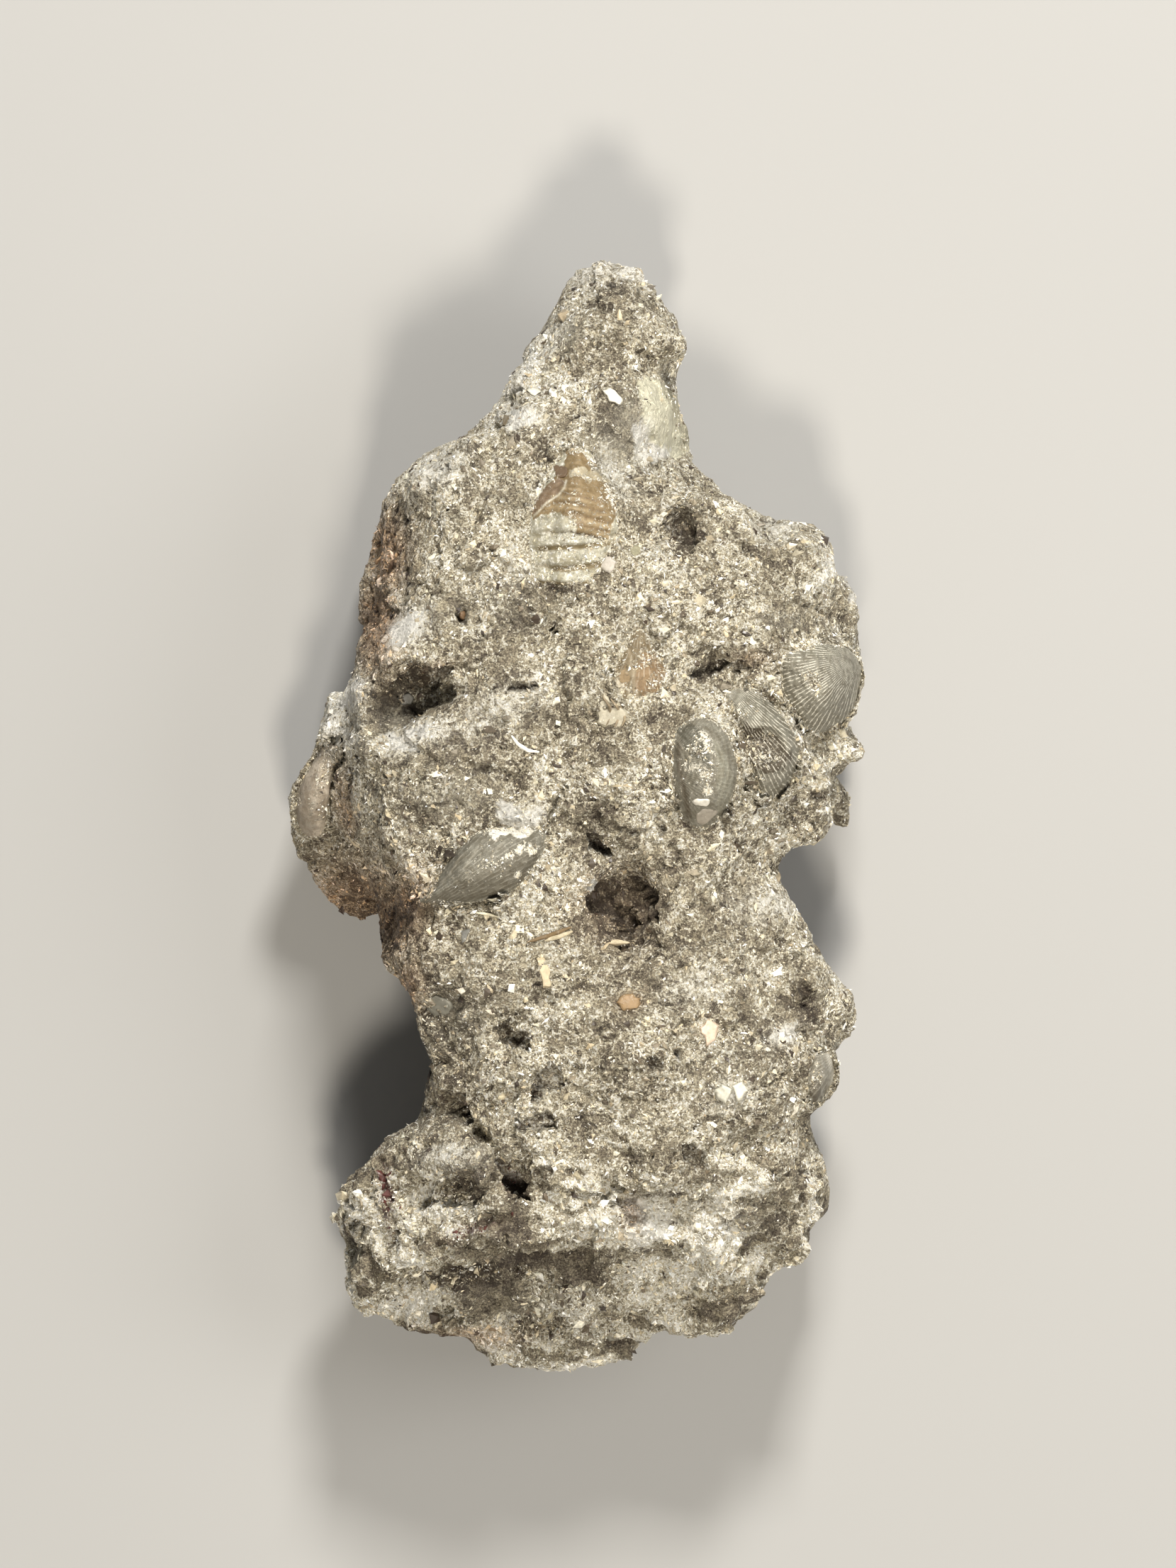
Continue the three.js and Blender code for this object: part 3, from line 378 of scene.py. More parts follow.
def split_faces(mesh, chosen):
    """Divides the edges of the chosen faces once."""
    work = bmesh.new()
    work.from_mesh(mesh)
    work.faces.ensure_lookup_table()
    edges = {edge for index in chosen for edge in work.faces[index].edges}
    bmesh.ops.subdivide_edges(work, edges=sorted(edges, key=lambda e: e.index), cuts=1, use_grid_fill=True)
    bmesh.ops.triangulate(work, faces=work.faces)
    work.to_mesh(mesh)
    work.free()


# Grains: four-faced shards and eight-faced chips
SHARD = (
    np.array([(-1, -0.6, -0.4), (1, -0.5, -0.4), (0, 0.9, -0.4), (0, 0, 0.6)]),
    np.array([(0, 2, 1), (0, 1, 3), (1, 2, 3), (2, 0, 3)]),
)
CHIP = (
    np.array([(-1, 0, 0), (1, 0, 0), (0, -1, 0), (0, 1, 0), (0, 0, -1), (0, 0, 1)]),
    np.array([
        (1, 3, 5), (3, 0, 5), (0, 2, 5), (2, 1, 5), (3, 1, 4), (0, 3, 4), (2, 0, 4), (1, 2, 4),
    ]),
)


def random_places(mesh, count, rng, density):
    """Random places on a mesh and the outward directions there. density takes points and directions and
    says how thickly the places lie."""
    corners = triangles_of(mesh)
    points = coordinates(mesh)
    a, b, c = (points[corners[:, n]] for n in range(3))
    cross = np.cross(b - a, c - a)
    twice_area = np.linalg.norm(cross, axis=1)
    outward = cross / np.maximum(twice_area, 1e-12)[:, None]
    weight = twice_area * density((a + b + c) / 3, outward)
    chosen = rng.choice(len(corners), count, p=weight / weight.sum())
    u, v = rng.random((2, count))
    over = u + v > 1
    u, v = np.where(over, 1 - u, u)[:, None], np.where(over, 1 - v, v)[:, None]
    places = a[chosen] + u * (b - a)[chosen] + v * (c - a)[chosen]
    return places, outward[chosen]


def unit(vectors):
    """The vectors, each brought to a length of 1."""
    return vectors / np.maximum(np.linalg.norm(vectors, axis=1, keepdims=True), 1e-9)


def grain_mesh(name, shape, places, outward, sizes, colours, rng, tumble):
    """Many small angular grains as one mesh. tumble is how far they lean out of the surface."""
    corners, faces = shape
    count = len(places)
    uneven, sunk = 0.27, 0.15
    thinnest, thickest = (0.8, 0.6, 0.3), (1.4, 1.0, 0.65)
    swirl, spread = 2.2, 0.7
    body = corners + rng.uniform(-uneven, uneven, (count, *corners.shape))
    body *= (sizes[:, None] * rng.uniform(thinnest, thickest, (count, 3)))[:, None]
    body[:, :, 2] -= sunk * sizes[:, None]
    up = unit(outward + rng.normal(0, tumble, (count, 3)))
    turn = swirl * soft_noise(places, 4.0, 5) + rng.normal(0, spread, count)
    heading = np.stack([np.cos(turn), np.sin(turn), np.zeros(count)], axis=1)
    along = unit(heading - up * np.sum(heading * up, axis=1, keepdims=True))
    axes = np.stack([along, np.cross(up, along), up], axis=1)
    points = places[:, None] + np.einsum("nkj,nji->nki", body, axes)
    points = points.reshape(-1, 3)
    points[:, 2] = np.maximum(points[:, 2], 0.0)
    numbers = (faces + len(corners) * np.arange(count)[:, None, None]).reshape(-1, 3)
    mesh = mesh_of(name, points, numbers)
    add_colours(mesh, "tone", np.repeat(colours, len(corners), axis=0))
    return mesh


# Materials


class Nodes:
    """Builds a material's nodes, with sizes in millimetres."""

    def __init__(self, name):
        self.material = bpy.data.materials.new(name)
        self.material.use_nodes = True
        self.tree = self.material.node_tree
        self.shader = self.tree.nodes["Principled BSDF"]
        self.place = self.scaled(self.add("ShaderNodeTexCoord", {}).outputs["Object"], 1 / MM)

    def add(self, kind, inputs, **settings):
        """A new node, with its inputs and its settings given by name."""
        node = self.tree.nodes.new(kind)
        for key, value in settings.items():
            setattr(node, key, value)
        for key, value in inputs.items():
            self.give(node.inputs[key], value)
        return node

    def give(self, socket, value):
        """Links a socket, or sets its own value."""
        if isinstance(value, bpy.types.NodeSocket):
            self.tree.links.new(value, socket)
        elif socket.type == "RGBA":
            socket.default_value = (*value[:3], 1)
        else:
            socket.default_value = value

    def noise(self, size, detail=2.0, rough=0.6, twist=0.0):
        inputs = {"Vector": self.place, "Scale": 1 / size, "Detail": detail, "Roughness": rough}
        return self.add("ShaderNodeTexNoise", {**inputs, "Distortion": twist}).outputs["Fac"]

    def cells(self, size, feature="F1", place=None):
        inputs = {"Vector": place or self.place, "Scale": 1 / size}
        return self.add("ShaderNodeTexVoronoi", inputs, feature=feature)

    def bent(self, size, amount):
        """Every place, pushed about by amount millimetres."""
        push = self.add("ShaderNodeTexNoise", {"Vector": self.place, "Scale": 1 / size, "Detail": 3.0})
        middle = self.add("ShaderNodeVectorMath", {0: push.outputs["Color"], 1: (0.5, 0.5, 0.5)},
                          operation="SUBTRACT")
        grown = self.scaled(middle.outputs[0], 2 * amount)
        return self.add("ShaderNodeVectorMath", {0: self.place, 1: grown}).outputs[0]

    def scaled(self, vector, factor):
        """A vector or a colour times a number."""
        return self.add("ShaderNodeVectorMath", {0: vector, "Scale": factor}, operation="SCALE").outputs[0]

    def times(self, a, b):
        return self.math("MULTIPLY", a, b)

    def sum(self, start, *shares):
        """The start plus each value times its share."""
        for value, share in shares:
            start = self.math("ADD", start, self.times(value, share))
        return start

    def value(self, name):
        return self.add("ShaderNodeAttribute", {}, attribute_name=name).outputs["Fac"]

    def colour(self, name):
        return self.add("ShaderNodeAttribute", {}, attribute_name=name).outputs["Color"]

    def polar(self, x, y):
        """How far a place is from a point of the plan, in millimetres, and in which direction."""
        parts = self.add("ShaderNodeSeparateXYZ", {"Vector": self.place})
        across = self.math("SUBTRACT", parts.outputs["X"], x)
        along = self.math("SUBTRACT", parts.outputs["Y"], y)
        squares = self.math("ADD", self.times(across, across), self.times(along, along))
        return self.math("SQRT", squares), self.math("ARCTAN2", along, across)

    def wave(self, value, turns, wobble, amount):
        """A sine of value times turns, from -1 to 1, bent by wobble."""
        bent = self.math("ADD", self.times(value, turns), self.times(wobble, amount))
        return self.math("SINE", bent)

    def math(self, operation, a, b=0.0, clamp=False):
        node = self.add("ShaderNodeMath", {0: a, 1: b}, operation=operation)
        node.use_clamp = clamp
        return node.outputs[0]

    def span(self, value, low, high, to_low=0.0, to_high=1.0):
        inputs = {"Value": value, "From Min": low, "From Max": high, "To Min": to_low, "To Max": to_high}
        return self.add("ShaderNodeMapRange", inputs).outputs["Result"]

    def mix(self, share, a, b, blend="MIX"):
        node = self.add("ShaderNodeMix", {}, data_type="RGBA", blend_type=blend)
        self.give(node.inputs["Factor"], share)
        self.give(node.inputs["A"], a)
        self.give(node.inputs["B"], b)
        return node.outputs["Result"]

    def steps(self, value, stops, smooth=False):
        node = self.add("ShaderNodeValToRGB", {"Fac": value})
        ramp = node.color_ramp
        ramp.interpolation = "LINEAR" if smooth else "CONSTANT"
        while len(ramp.elements) < len(stops):
            ramp.elements.new(1.0)
        for element, (position, colour) in zip(ramp.elements, stops):
            element.position = position
            element.color = (*colour[:3], 1)
        return node.outputs["Color"]

    def bump(self, height, distance, strength=1.0, under=None):
        inputs = {"Height": height, "Distance": distance * MM, "Strength": strength}
        if under is not None:
            inputs["Normal"] = under
        return self.add("ShaderNodeBump", inputs).outputs["Normal"]

    def finish(self, **sockets):
        for key, value in sockets.items():
            self.give(self.shader.inputs[key.replace("_", " ")], value)
        return self.material


# The nodes set in the rock
FOSSILS = [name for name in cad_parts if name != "limestone_matrix"]

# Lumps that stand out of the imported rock, as (px, py, level, three reaches in millimetres, turn)
LUMPS = {
    "nub of the spire": (944, 487, 20.0, 1.7, 1.3, 2.6, -0.6),
    "top of the spire, left": (842, 381, 18.2, 0.8, 0.9, 1.6, 0.0),
    "top of the spire, right": (884, 392, 18.2, 1.5, 1.2, 1.8, 0.0),
    "nub of the right lobe": (1203, 1058, 17.0, 1.3, 1.0, 1.8, 0.3),
}

# Hollows and rises that the fine mesh adds, as (px, py, reach along x, reach along y, turn, millimetres)
FACE_RELIEF = {
    "cup left by a shell, right end": (600, 978, 2.0, 1.6, 0.2, -0.7),
    "cup left by a shell, left end": (562, 996, 1.6, 1.4, 0.0, -1.0),
    "large hollow": (880, 1276, 2.2, 3.0, 0.25, -1.1),
    "slot right of the ridge": (1153, 1122, 0.6, 0.3, 0.0, -0.8),
    "notch at the lower left shell": (606, 1288, 0.25, 0.8, 0.0, -0.9),
    "hole of the centre shell": (971, 1155, 0.4, 0.6, 0.3, -0.9),
    "brow of the foot": (620, 1640, 3.4, 1.2, 0.1, 0.7),
    "hollow of the foot": (622, 1683, 2.8, 1.2, 0.1, -1.1),
    "ridge of the foot": (690, 1745, 4.5, 0.8, 0.1, 0.8),
    "left knob of the foot": (560, 1775, 1.6, 1.3, 0.0, 0.7),
    "knob above the bottom edge": (800, 1800, 2.0, 1.2, 0.2, 0.6),
    "right knob of the foot": (1010, 1760, 2.2, 1.8, 0.5, 0.7),
}
FACE_CRACKS = {
    "crack above the lower left shell": (
        [(798, 1109), (784, 1130), (778, 1150), (775, 1172), (773, 1187)], 0.17, -1.1),
    "crack over the foot": ([(622, 1561), (660, 1578), (680, 1595), (698, 1616), (708, 1640)], 0.3, -1.4),
    "curved crack": ([(1063, 1537), (1098, 1520), (1120, 1505), (1132, 1485)], 0.14, -0.6),
    "short crack": ([(1094, 1606), (1115, 1611)], 0.14, -0.5),
    "crack of the right lobe": ([(1152, 843), (1165, 828), (1180, 815), (1190, 808)], 0.28, -0.6),
    "lower edge of the fan": ([(1117, 850), (1140, 856), (1160, 862), (1190, 872)], 0.25, -0.5),
    "ledge of the foot, left": ([(545, 1797), (600, 1803), (655, 1800), (700, 1788)], 0.5, -1.1),
    "ledge of the foot, right": ([(700, 1768), (740, 1776), (768, 1772)], 0.45, -1.0),
    "lowest ledge": ([(680, 1852), (740, 1868), (800, 1880), (862, 1872)], 0.55, -1.0),
    "rill of the foot": ([(830, 1740), (822, 1790), (835, 1840)], 0.4, -0.7),
    "rill of the bright patch": ([(965, 1700), (985, 1760), (975, 1820)], 0.4, -0.7),
}

# Crisp hollows: their rim in photo pixels, depth in millimetres and how dark their painted shadow is
HOLLOWS = {
    "deepest hole": (
        [(826, 1177), (836, 1172), (846, 1178), (852, 1192), (860, 1207), (848, 1206), (838, 1200),
         (830, 1198), (828, 1186)], 1.7, 1.0),
    "middle of the large hollow": (
        [(836, 1262), (850, 1243), (868, 1248), (878, 1262), (877, 1275), (888, 1283), (901, 1300),
         (884, 1302), (870, 1297), (866, 1284), (850, 1290), (836, 1285), (824, 1268)], 1.3, 0.9),
    "right wedge of the large hollow": (
        [(884, 1241), (898, 1239), (912, 1255), (927, 1259), (925, 1280), (931, 1302), (922, 1304),
         (914, 1282), (900, 1268), (888, 1256)], 1.0, 0.9),
    "foot of the large hollow": (
        [(878, 1303), (893, 1304), (889, 1319), (881, 1338), (872, 1332)], 0.6, 0.75),
    "shadow above the large hollow": (
        [(866, 1165), (880, 1165), (896, 1171), (915, 1169), (912, 1177), (890, 1179),
         (872, 1173)], 0.35, 0.7),
    "pin hole": ([(928, 1165), (937, 1162), (938, 1172), (931, 1178)], 0.7, 0.9),
    "brow of the cup": (
        [(568, 955), (580, 944), (600, 941), (636, 943), (633, 957), (624, 964), (616, 968), (607, 979),
         (590, 981), (576, 977), (560, 973), (546, 968), (558, 961)], 1.0, 0.85),
    "core of the cup": (
        [(558, 998), (580, 996), (598, 991), (593, 1001), (581, 1009), (573, 1019), (561, 1011)], 0.6, 0.95),
    "left side of the cup": ([(536, 978), (560, 975), (561, 998), (545, 1001), (533, 990)], 0.4, 0.7),
    "pit of the waist": (
        [(700, 1448), (712, 1441), (725, 1455), (738, 1451), (746, 1461), (749, 1477), (735, 1479),
         (720, 1479), (704, 1468)], 1.0, 0.85),
    "pit below the waist": (
        [(757, 1512), (775, 1501), (789, 1507), (791, 1517), (801, 1523), (790, 1533), (775, 1541),
         (766, 1537), (759, 1530)], 0.8, 0.65),
    "black end of the pit": ([(749, 1530), (760, 1523), (769, 1536), (758, 1550), (751, 1557)], 1.4, 1.0),
    "second pit below the waist": (
        [(741, 1577), (760, 1571), (776, 1569), (786, 1580), (781, 1589), (765, 1593), (746, 1591),
         (735, 1599), (727, 1590)], 0.9, 0.8),
    "notch": (
        [(617, 1542), (635, 1535), (649, 1547), (659, 1561), (659, 1578), (647, 1579), (640, 1570),
         (624, 1563)],
        1.1, 0.75),
    "black pit": (
        [(703, 1634), (715, 1636), (721, 1655), (730, 1651), (739, 1656), (743, 1672), (736, 1679),
         (746, 1691), (735, 1691), (721, 1682), (713, 1668), (707, 1650)], 1.7, 1.0),
    "slot beside the black pit": (
        [(755, 1645), (770, 1641), (783, 1647), (778, 1657), (759, 1659)], 0.5, 0.6),
    "hollow right of the shield": (
        [(937, 735), (945, 721), (962, 715), (976, 723), (973, 738), (981, 752), (986, 765), (972, 778),
         (960, 768), (945, 753), (934, 743)], 1.0, 0.8),
    "groove": (
        [(976, 951), (990, 941), (1005, 939), (1018, 935), (1029, 937), (1015, 949), (1000, 955),
         (984, 959)],
        1.0, 0.95),
    "end of the groove": ([(1030, 938), (1045, 935), (1062, 942), (1040, 951), (1030, 948)], 0.6, 0.6),
    "slit": ([(713, 969), (740, 966), (770, 970), (745, 976), (717, 976)], 0.8, 1.0),
    "round pit left": ([(646, 860), (656, 858), (661, 868), (658, 880), (650, 878), (645, 868)], 0.9, 0.6),
    "round pit centre": ([(774, 887), (784, 887), (786, 896), (777, 898)], 1.1, 1.0),
    "pit of the lower right": (
        [(962, 1616), (975, 1611), (986, 1621), (999, 1630), (1001, 1646), (990, 1656), (978, 1651),
         (967, 1640)],
        0.9, 0.75),
    "round hole": ([(913, 1497), (922, 1491), (931, 1497), (931, 1507), (922, 1511), (913, 1507)], 0.9, 0.9),
    "second round hole": ([(952, 1483), (960, 1480), (965, 1487), (960, 1494), (952, 1492)], 0.8, 0.9),
    "facet of the bright patch": (
        [(877, 1697), (895, 1694), (909, 1706), (906, 1723), (890, 1727), (877, 1715)], 0.4, 0.55),
    "broken middle of a shell, left": ([(1050, 1040), (1072, 1034), (1082, 1052), (1064, 1066)], 0.3, 0.5),
    "right edge spots": ([(1126, 1388), (1138, 1384), (1146, 1400), (1138, 1420), (1128, 1412)], 0.5, 0.7),
    "dark crack of the right lobe": ([(1046, 762), (1056, 768), (1066, 783), (1054, 776)], 0.5, 0.9),
}

# Crisp pale shapes, closed lines through photo pixels: white chips, painted highlights on the cup's lower
# rim, the ledge's edge and the right lobe's rim, and the cream band and its rim
WHITE_AND_HIGHLIGHT_SHAPES = {
    "chip of the arris": [
        (549, 893), (560, 878), (575, 867), (593, 863), (598, 872), (588, 890), (578, 905), (562, 915),
        (552, 908)],
    "crust above a shell": [
        (700, 1140), (712, 1126), (722, 1133), (740, 1141), (760, 1138), (769, 1150), (756, 1160),
        (758, 1172), (735, 1166), (705, 1169)],
    "corner of the band": [
        (896, 603), (906, 596), (915, 610), (925, 627), (945, 632), (947, 641), (930, 651), (914, 646),
        (902, 641), (894, 620)],
    "lower rim of the cup": [
        (545, 1037), (575, 1034), (590, 1026), (613, 1026), (606, 1038), (586, 1045), (598, 1058),
        (560, 1063), (545, 1050)],
    "edge of the ledge": [(476, 1001), (490, 972), (505, 957), (517, 962), (510, 985), (495, 1001)],
    "chip of the large hollow": [
        (829, 1245), (836, 1238), (844, 1246), (843, 1257), (835, 1262), (829, 1255)],
    "rim of the right lobe": [
        (1176, 758), (1190, 768), (1205, 798), (1208, 850), (1197, 852), (1192, 812), (1179, 787)],
    "chip of the lower right": [(1097, 1452), (1110, 1446), (1121, 1455), (1112, 1468), (1099, 1466)],
    "bright knob of the foot": [
        (905, 1722), (925, 1716), (942, 1722), (950, 1738), (930, 1745), (908, 1740)],
    "shoulder": [(700, 588), (722, 575), (750, 580), (768, 592), (745, 602), (715, 608)],
}
BAND_SHAPE = [
    (903, 539), (915, 532), (930, 540), (945, 552), (954, 562), (958, 585), (966, 600), (970, 615),
    (966, 635), (955, 649), (945, 641), (930, 632), (915, 615), (908, 590), (903, 565)]
BAND_RIM = [
    (936, 541), (954, 557), (961, 583), (970, 602), (973, 618), (967, 638), (957, 641), (961, 615),
    (951, 598), (947, 576), (936, 554)]

# Colour zones, each spot as (px, py, reach along x, reach along y, turn, strength)
# Pale zones are pale rock, and painted highlight where the surface catches the light: the spire's tip and
# left edge, the left shoulder, the ledge's edge, the cup's lower rim, the neck and the right lobe's rim
PALE_AND_HIGHLIGHT_SPOTS = {
    "spire tip": (830, 380, 3.0, 1.2, 0.0, 0.7),
    "spire top right": (893, 385, 1.6, 1.0, 0.0, 0.9),
    "left edge of the spire": (745, 520, 1.0, 4.5, -0.6, 0.6),
    "left shoulder": (615, 665, 2.4, 1.3, 0.6, 0.75),
    "shoulder patch": (740, 590, 1.8, 1.0, 0.0, 0.5),
    "spot of the spire": (753, 554, 0.7, 0.35, 0.0, 1.2),
    "band patch": (912, 622, 0.7, 1.6, 0.0, 1.3),
    "chip of the arris": (576, 888, 1.7, 1.0, 0.75, 1.5),
    "lower rim of the cup": (585, 1042, 3.0, 0.9, 0.3, 0.9),
    "right of the crust": (750, 1150, 1.1, 0.8, 0.0, 0.7),
    "streak of the middle": (705, 1000, 3.5, 1.4, 0.5, 0.5),
    "neck": (1085, 1275, 2.4, 1.4, 0.0, 0.55),
    "bright slab of the neck": (1110, 1035, 0.9, 1.3, 0.5, 0.9),
    "lower right patch": (1106, 1459, 1.2, 0.7, 0.4, 1.1),
    "crystals": (1030, 1540, 1.6, 1.1, 0.5, 0.8),
    "bright patch of the foot": (915, 1725, 2.2, 2.0, 0.0, 0.8),
    "right of the bright patch": (1010, 1720, 3.0, 2.2, 0.3, 0.35),
    "brow of the foot": (640, 1630, 2.6, 1.1, 0.1, 0.5),
    "left bottom of the foot": (590, 1840, 2.6, 1.0, 0.1, 0.5),
    "ledge edge": (494, 978, 1.3, 1.2, 0.0, 1.0),
    "cream of the ledge": (478, 1030, 1.3, 1.8, 0.3, 0.8),
    "right of the shield": (868, 668, 1.0, 2.2, 0.5, 0.45),
    "rim of the right lobe": (1180, 790, 0.9, 2.2, -0.5, 0.9),
    "top of the right lobe": (1095, 745, 1.6, 0.8, 0.0, 0.6),
    "left of the shield's foot": (735, 810, 1.2, 1.6, 0.0, 0.2),
    "below the large hollow": (990, 1390, 3.0, 1.6, 0.3, 0.25),
}
# Mostly painted shade: these spots darken hollows, ledge undersides, the rock under the shield and sides
# turned from the light; a few are dark rock
DARK_AND_SHADE_SPOTS = {
    "large hollow": (872, 1282, 2.6, 3.2, 0.3, 0.6),
    "cup, left end": (572, 985, 2.4, 1.8, 0.0, 0.55),
    "hollow right of the shield": (960, 755, 1.6, 2.0, -0.2, 0.45),
    "notch": (640, 1558, 1.6, 1.3, 0.0, 0.4),
    "broken middle of a shell": (1078, 1050, 2.0, 1.4, 0.0, 1.0),
    "hole of the centre shell": (971, 1156, 0.5, 0.8, 0.3, 1.4),
    "hollow of the foot": (640, 1680, 2.4, 0.9, 0.1, 0.8),
    "right edge spots": (1135, 1405, 0.9, 1.5, 0.0, 0.9),
    "right edge spots, lower": (1146, 1430, 0.7, 0.9, 0.0, 1.0),
    "slot": (1153, 1122, 0.8, 0.4, 0.0, 1.1),
    "ledge of the foot, left": (630, 1806, 3.8, 0.55, 0.0, 1.0),
    "ledge of the foot, right": (735, 1775, 1.8, 0.5, 0.0, 0.9),
    "bottom of the foot": (760, 1868, 4.0, 0.9, 0.0, 0.6),
    "dark face of the foot": (800, 1815, 2.4, 1.3, 0.3, 0.35),
    "ledge underside": (530, 1300, 3.2, 3.4, -0.7, 0.5),
    "left of the shield's cap": (765, 640, 0.8, 0.9, 0.0, 0.6),
    "under the shield": (790, 832, 2.4, 0.4, 0.0, 0.8),
    "left of the lower left shell": (625, 1205, 1.6, 0.8, -0.5, 0.7),
    "right of the crack": (845, 1150, 1.0, 0.7, 0.4, 0.7),
    "left end of the middle": (600, 1155, 1.4, 1.4, 0.0, 0.4),
    "left side of the waist": (615, 1480, 3.0, 6.5, 0.0, 0.3),
    "right side below the middle": (1090, 1500, 4.0, 6.0, 0.0, 0.14),
}
# The brown of the left flank and under the ledge is partly the rock's own brown, partly a painted warm
# reflection and painted shade; the other spots are brown rock
BROWN_AND_REFLECTION_SPOTS = {
    "left flank, upper": (545, 780, 1.7, 3.4, 0.0, 1.3),
    "left flank, lower": (532, 880, 1.7, 4.0, 0.0, 1.3),
    "underside of the ledge": (500, 1290, 4.5, 4.0, -0.7, 1.4),
    "underside of the ledge, right": (560, 1290, 2.2, 3.4, -0.4, 1.2),
    "rough strip of the ledge": (490, 1140, 0.9, 3.4, 0.15, 0.8),
    "below the ledge": (575, 1390, 1.3, 2.4, 0.0, 1.0),
    "brown fragment": (888, 1412, 1.1, 0.7, 0.3, 0.9),
    "large hollow": (870, 1280, 3.0, 3.0, 0.3, 0.5),
    "bottom edge": (640, 1885, 5.0, 0.8, 0.0, 0.7),
    "facet of the bright patch": (892, 1712, 0.8, 1.1, 0.0, 0.9),
    "left of the groove": (1060, 930, 1.6, 0.8, 0.0, 0.5),
    "rim of the cup": (600, 945, 2.4, 0.5, 0.2, 0.6),
}
MAROON_SPOTS = {
    "streak of the foot edge": (547, 1685, 0.45, 2.8, 0.1, 1.2),
    "streak of the foot": (668, 1734, 2.2, 0.5, 0.3, 0.9),
    "black pit": (722, 1664, 0.8, 1.0, 0.5, 0.8),
}
GREY_SPOTS = {
    "grey of the spire": (860, 640, 2.4, 2.8, -0.4, 0.8),
    "grey below the chip": (885, 590, 1.3, 2.2, 0.0, 0.9),
    "smooth patch of the spire": (803, 470, 1.1, 1.1, 0.0, 1.0),
    "grey face of the middle": (640, 1120, 3.2, 1.8, 0.0, 0.7),
    "grey face of the waist": (645, 1440, 2.6, 2.2, 0.0, 0.6),
    "cup, left end": (560, 1010, 1.7, 1.3, 0.0, 0.9),
    "grey above the amber shell": (700, 850, 4.0, 2.2, 0.0, 0.4),
    "grey face of the foot": (740, 1840, 3.4, 1.6, 0.0, 0.35),
    "right lobe": (1110, 880, 2.6, 1.2, 0.0, 0.5),
    "lower right": (1010, 1490, 3.0, 1.4, 0.4, 0.3),
}
# Where the rock is smooth and bears no grains
SMOOTH_SPOTS = {
    "upper band": (920, 552, 0.7, 1.2, 0.35, 1.3),
    "cream band": (934, 592, 1.1, 2.0, 0.25, 1.5),
    "lower band": (946, 630, 0.9, 1.1, 0.2, 1.3),
    "chip of the arris": PALE_AND_HIGHLIGHT_SPOTS["chip of the arris"],
    "smooth patch of the spire": GREY_SPOTS["smooth patch of the spire"],
    "grey below the chip": GREY_SPOTS["grey below the chip"],
    "cup, left end": GREY_SPOTS["cup, left end"],
}


def zone(points, spots):
    """How strongly a zone's spots cover each point, from 0 up to 1."""
    total = np.zeros(len(points))
    for px, py, reach_x, reach_y, turn, strength in spots.values():
        total = np.maximum(total, strength * bell(points, px, py, reach_x, reach_y, turn))
    return np.clip(total, 0, 1)


def hollowed(points):
    """How deep, in millimetres, the crisp hollows are at each point, and how dark their painted shadow is
    there.
    """
    depth = np.zeros(len(points))
    dark = np.zeros(len(points))
    for rim, deep, strength in HOLLOWS.values():
        cover = inside(points, rim, HOLLOW_RAGGED)
        depth = np.maximum(depth, deep * cover)
        dark = np.maximum(dark, strength * cover)
    return depth, dark


# What a user would change


class RockLook(bpy.types.PropertyGroup):
    """Sizes and colours of the limestone."""

    mesh_step: bpy.props.FloatProperty(
        name="Mesh step", description="Edge length of the even mesh", default=0.62 * MM, min=0.3 * MM,
        unit="LENGTH", precision=5)
    fill_outwards: bpy.props.FloatProperty(
        name="Fill outwards", description="How far the rock reaches under a shell's rim",
        default=0.8 * MM, unit="LENGTH", precision=5)
    fill_down: bpy.props.FloatProperty(
        name="Fill down", description="How far the filling is lowered from a shell's level, or raised if it "
        "is less than 0", default=-0.1 * MM, unit="LENGTH", precision=5)
    under_shell: bpy.props.FloatProperty(
        name="Under shell", description="How far the rock's skin stays below a shell",
        default=0.14 * MM, unit="LENGTH", precision=5)
    under_shell_reach: bpy.props.FloatProperty(
        name="Under shell reach", description="Depth below a shell in which the rock is pressed down",
        default=2.5 * MM, unit="LENGTH", precision=5)
    # The flank colour is partly the rock's brown, partly a painted warm reflection and painted shade
    flank: bpy.props.FloatVectorProperty(
        name="Flank", description="Brown stain of the flank", subtype="COLOR", default=(0.25, 0.155, 0.10))
    grey: bpy.props.FloatVectorProperty(
        name="Grey", description="Smooth grey faces", subtype="COLOR", default=(0.26, 0.245, 0.19))
    band: bpy.props.FloatVectorProperty(
        name="Band", description="Cream band of the spire", subtype="COLOR", default=(0.93, 0.89, 0.68))
    rim: bpy.props.FloatVectorProperty(
        name="Band rim", description="Grey-green rim of the band", subtype="COLOR",
        default=(0.56, 0.52, 0.37))
    # The hollow colour is mostly painted shade, over the dark zones and the crisp hollows' painted shadows,
    # and partly dark dirt
    hollow: bpy.props.FloatVectorProperty(
        name="Hollow", description="Dirt in the hollows", subtype="COLOR", default=(0.060, 0.042, 0.027))
    maroon: bpy.props.FloatVectorProperty(
        name="Maroon", description="Dark red streaks", subtype="COLOR", default=(0.065, 0.020, 0.015))


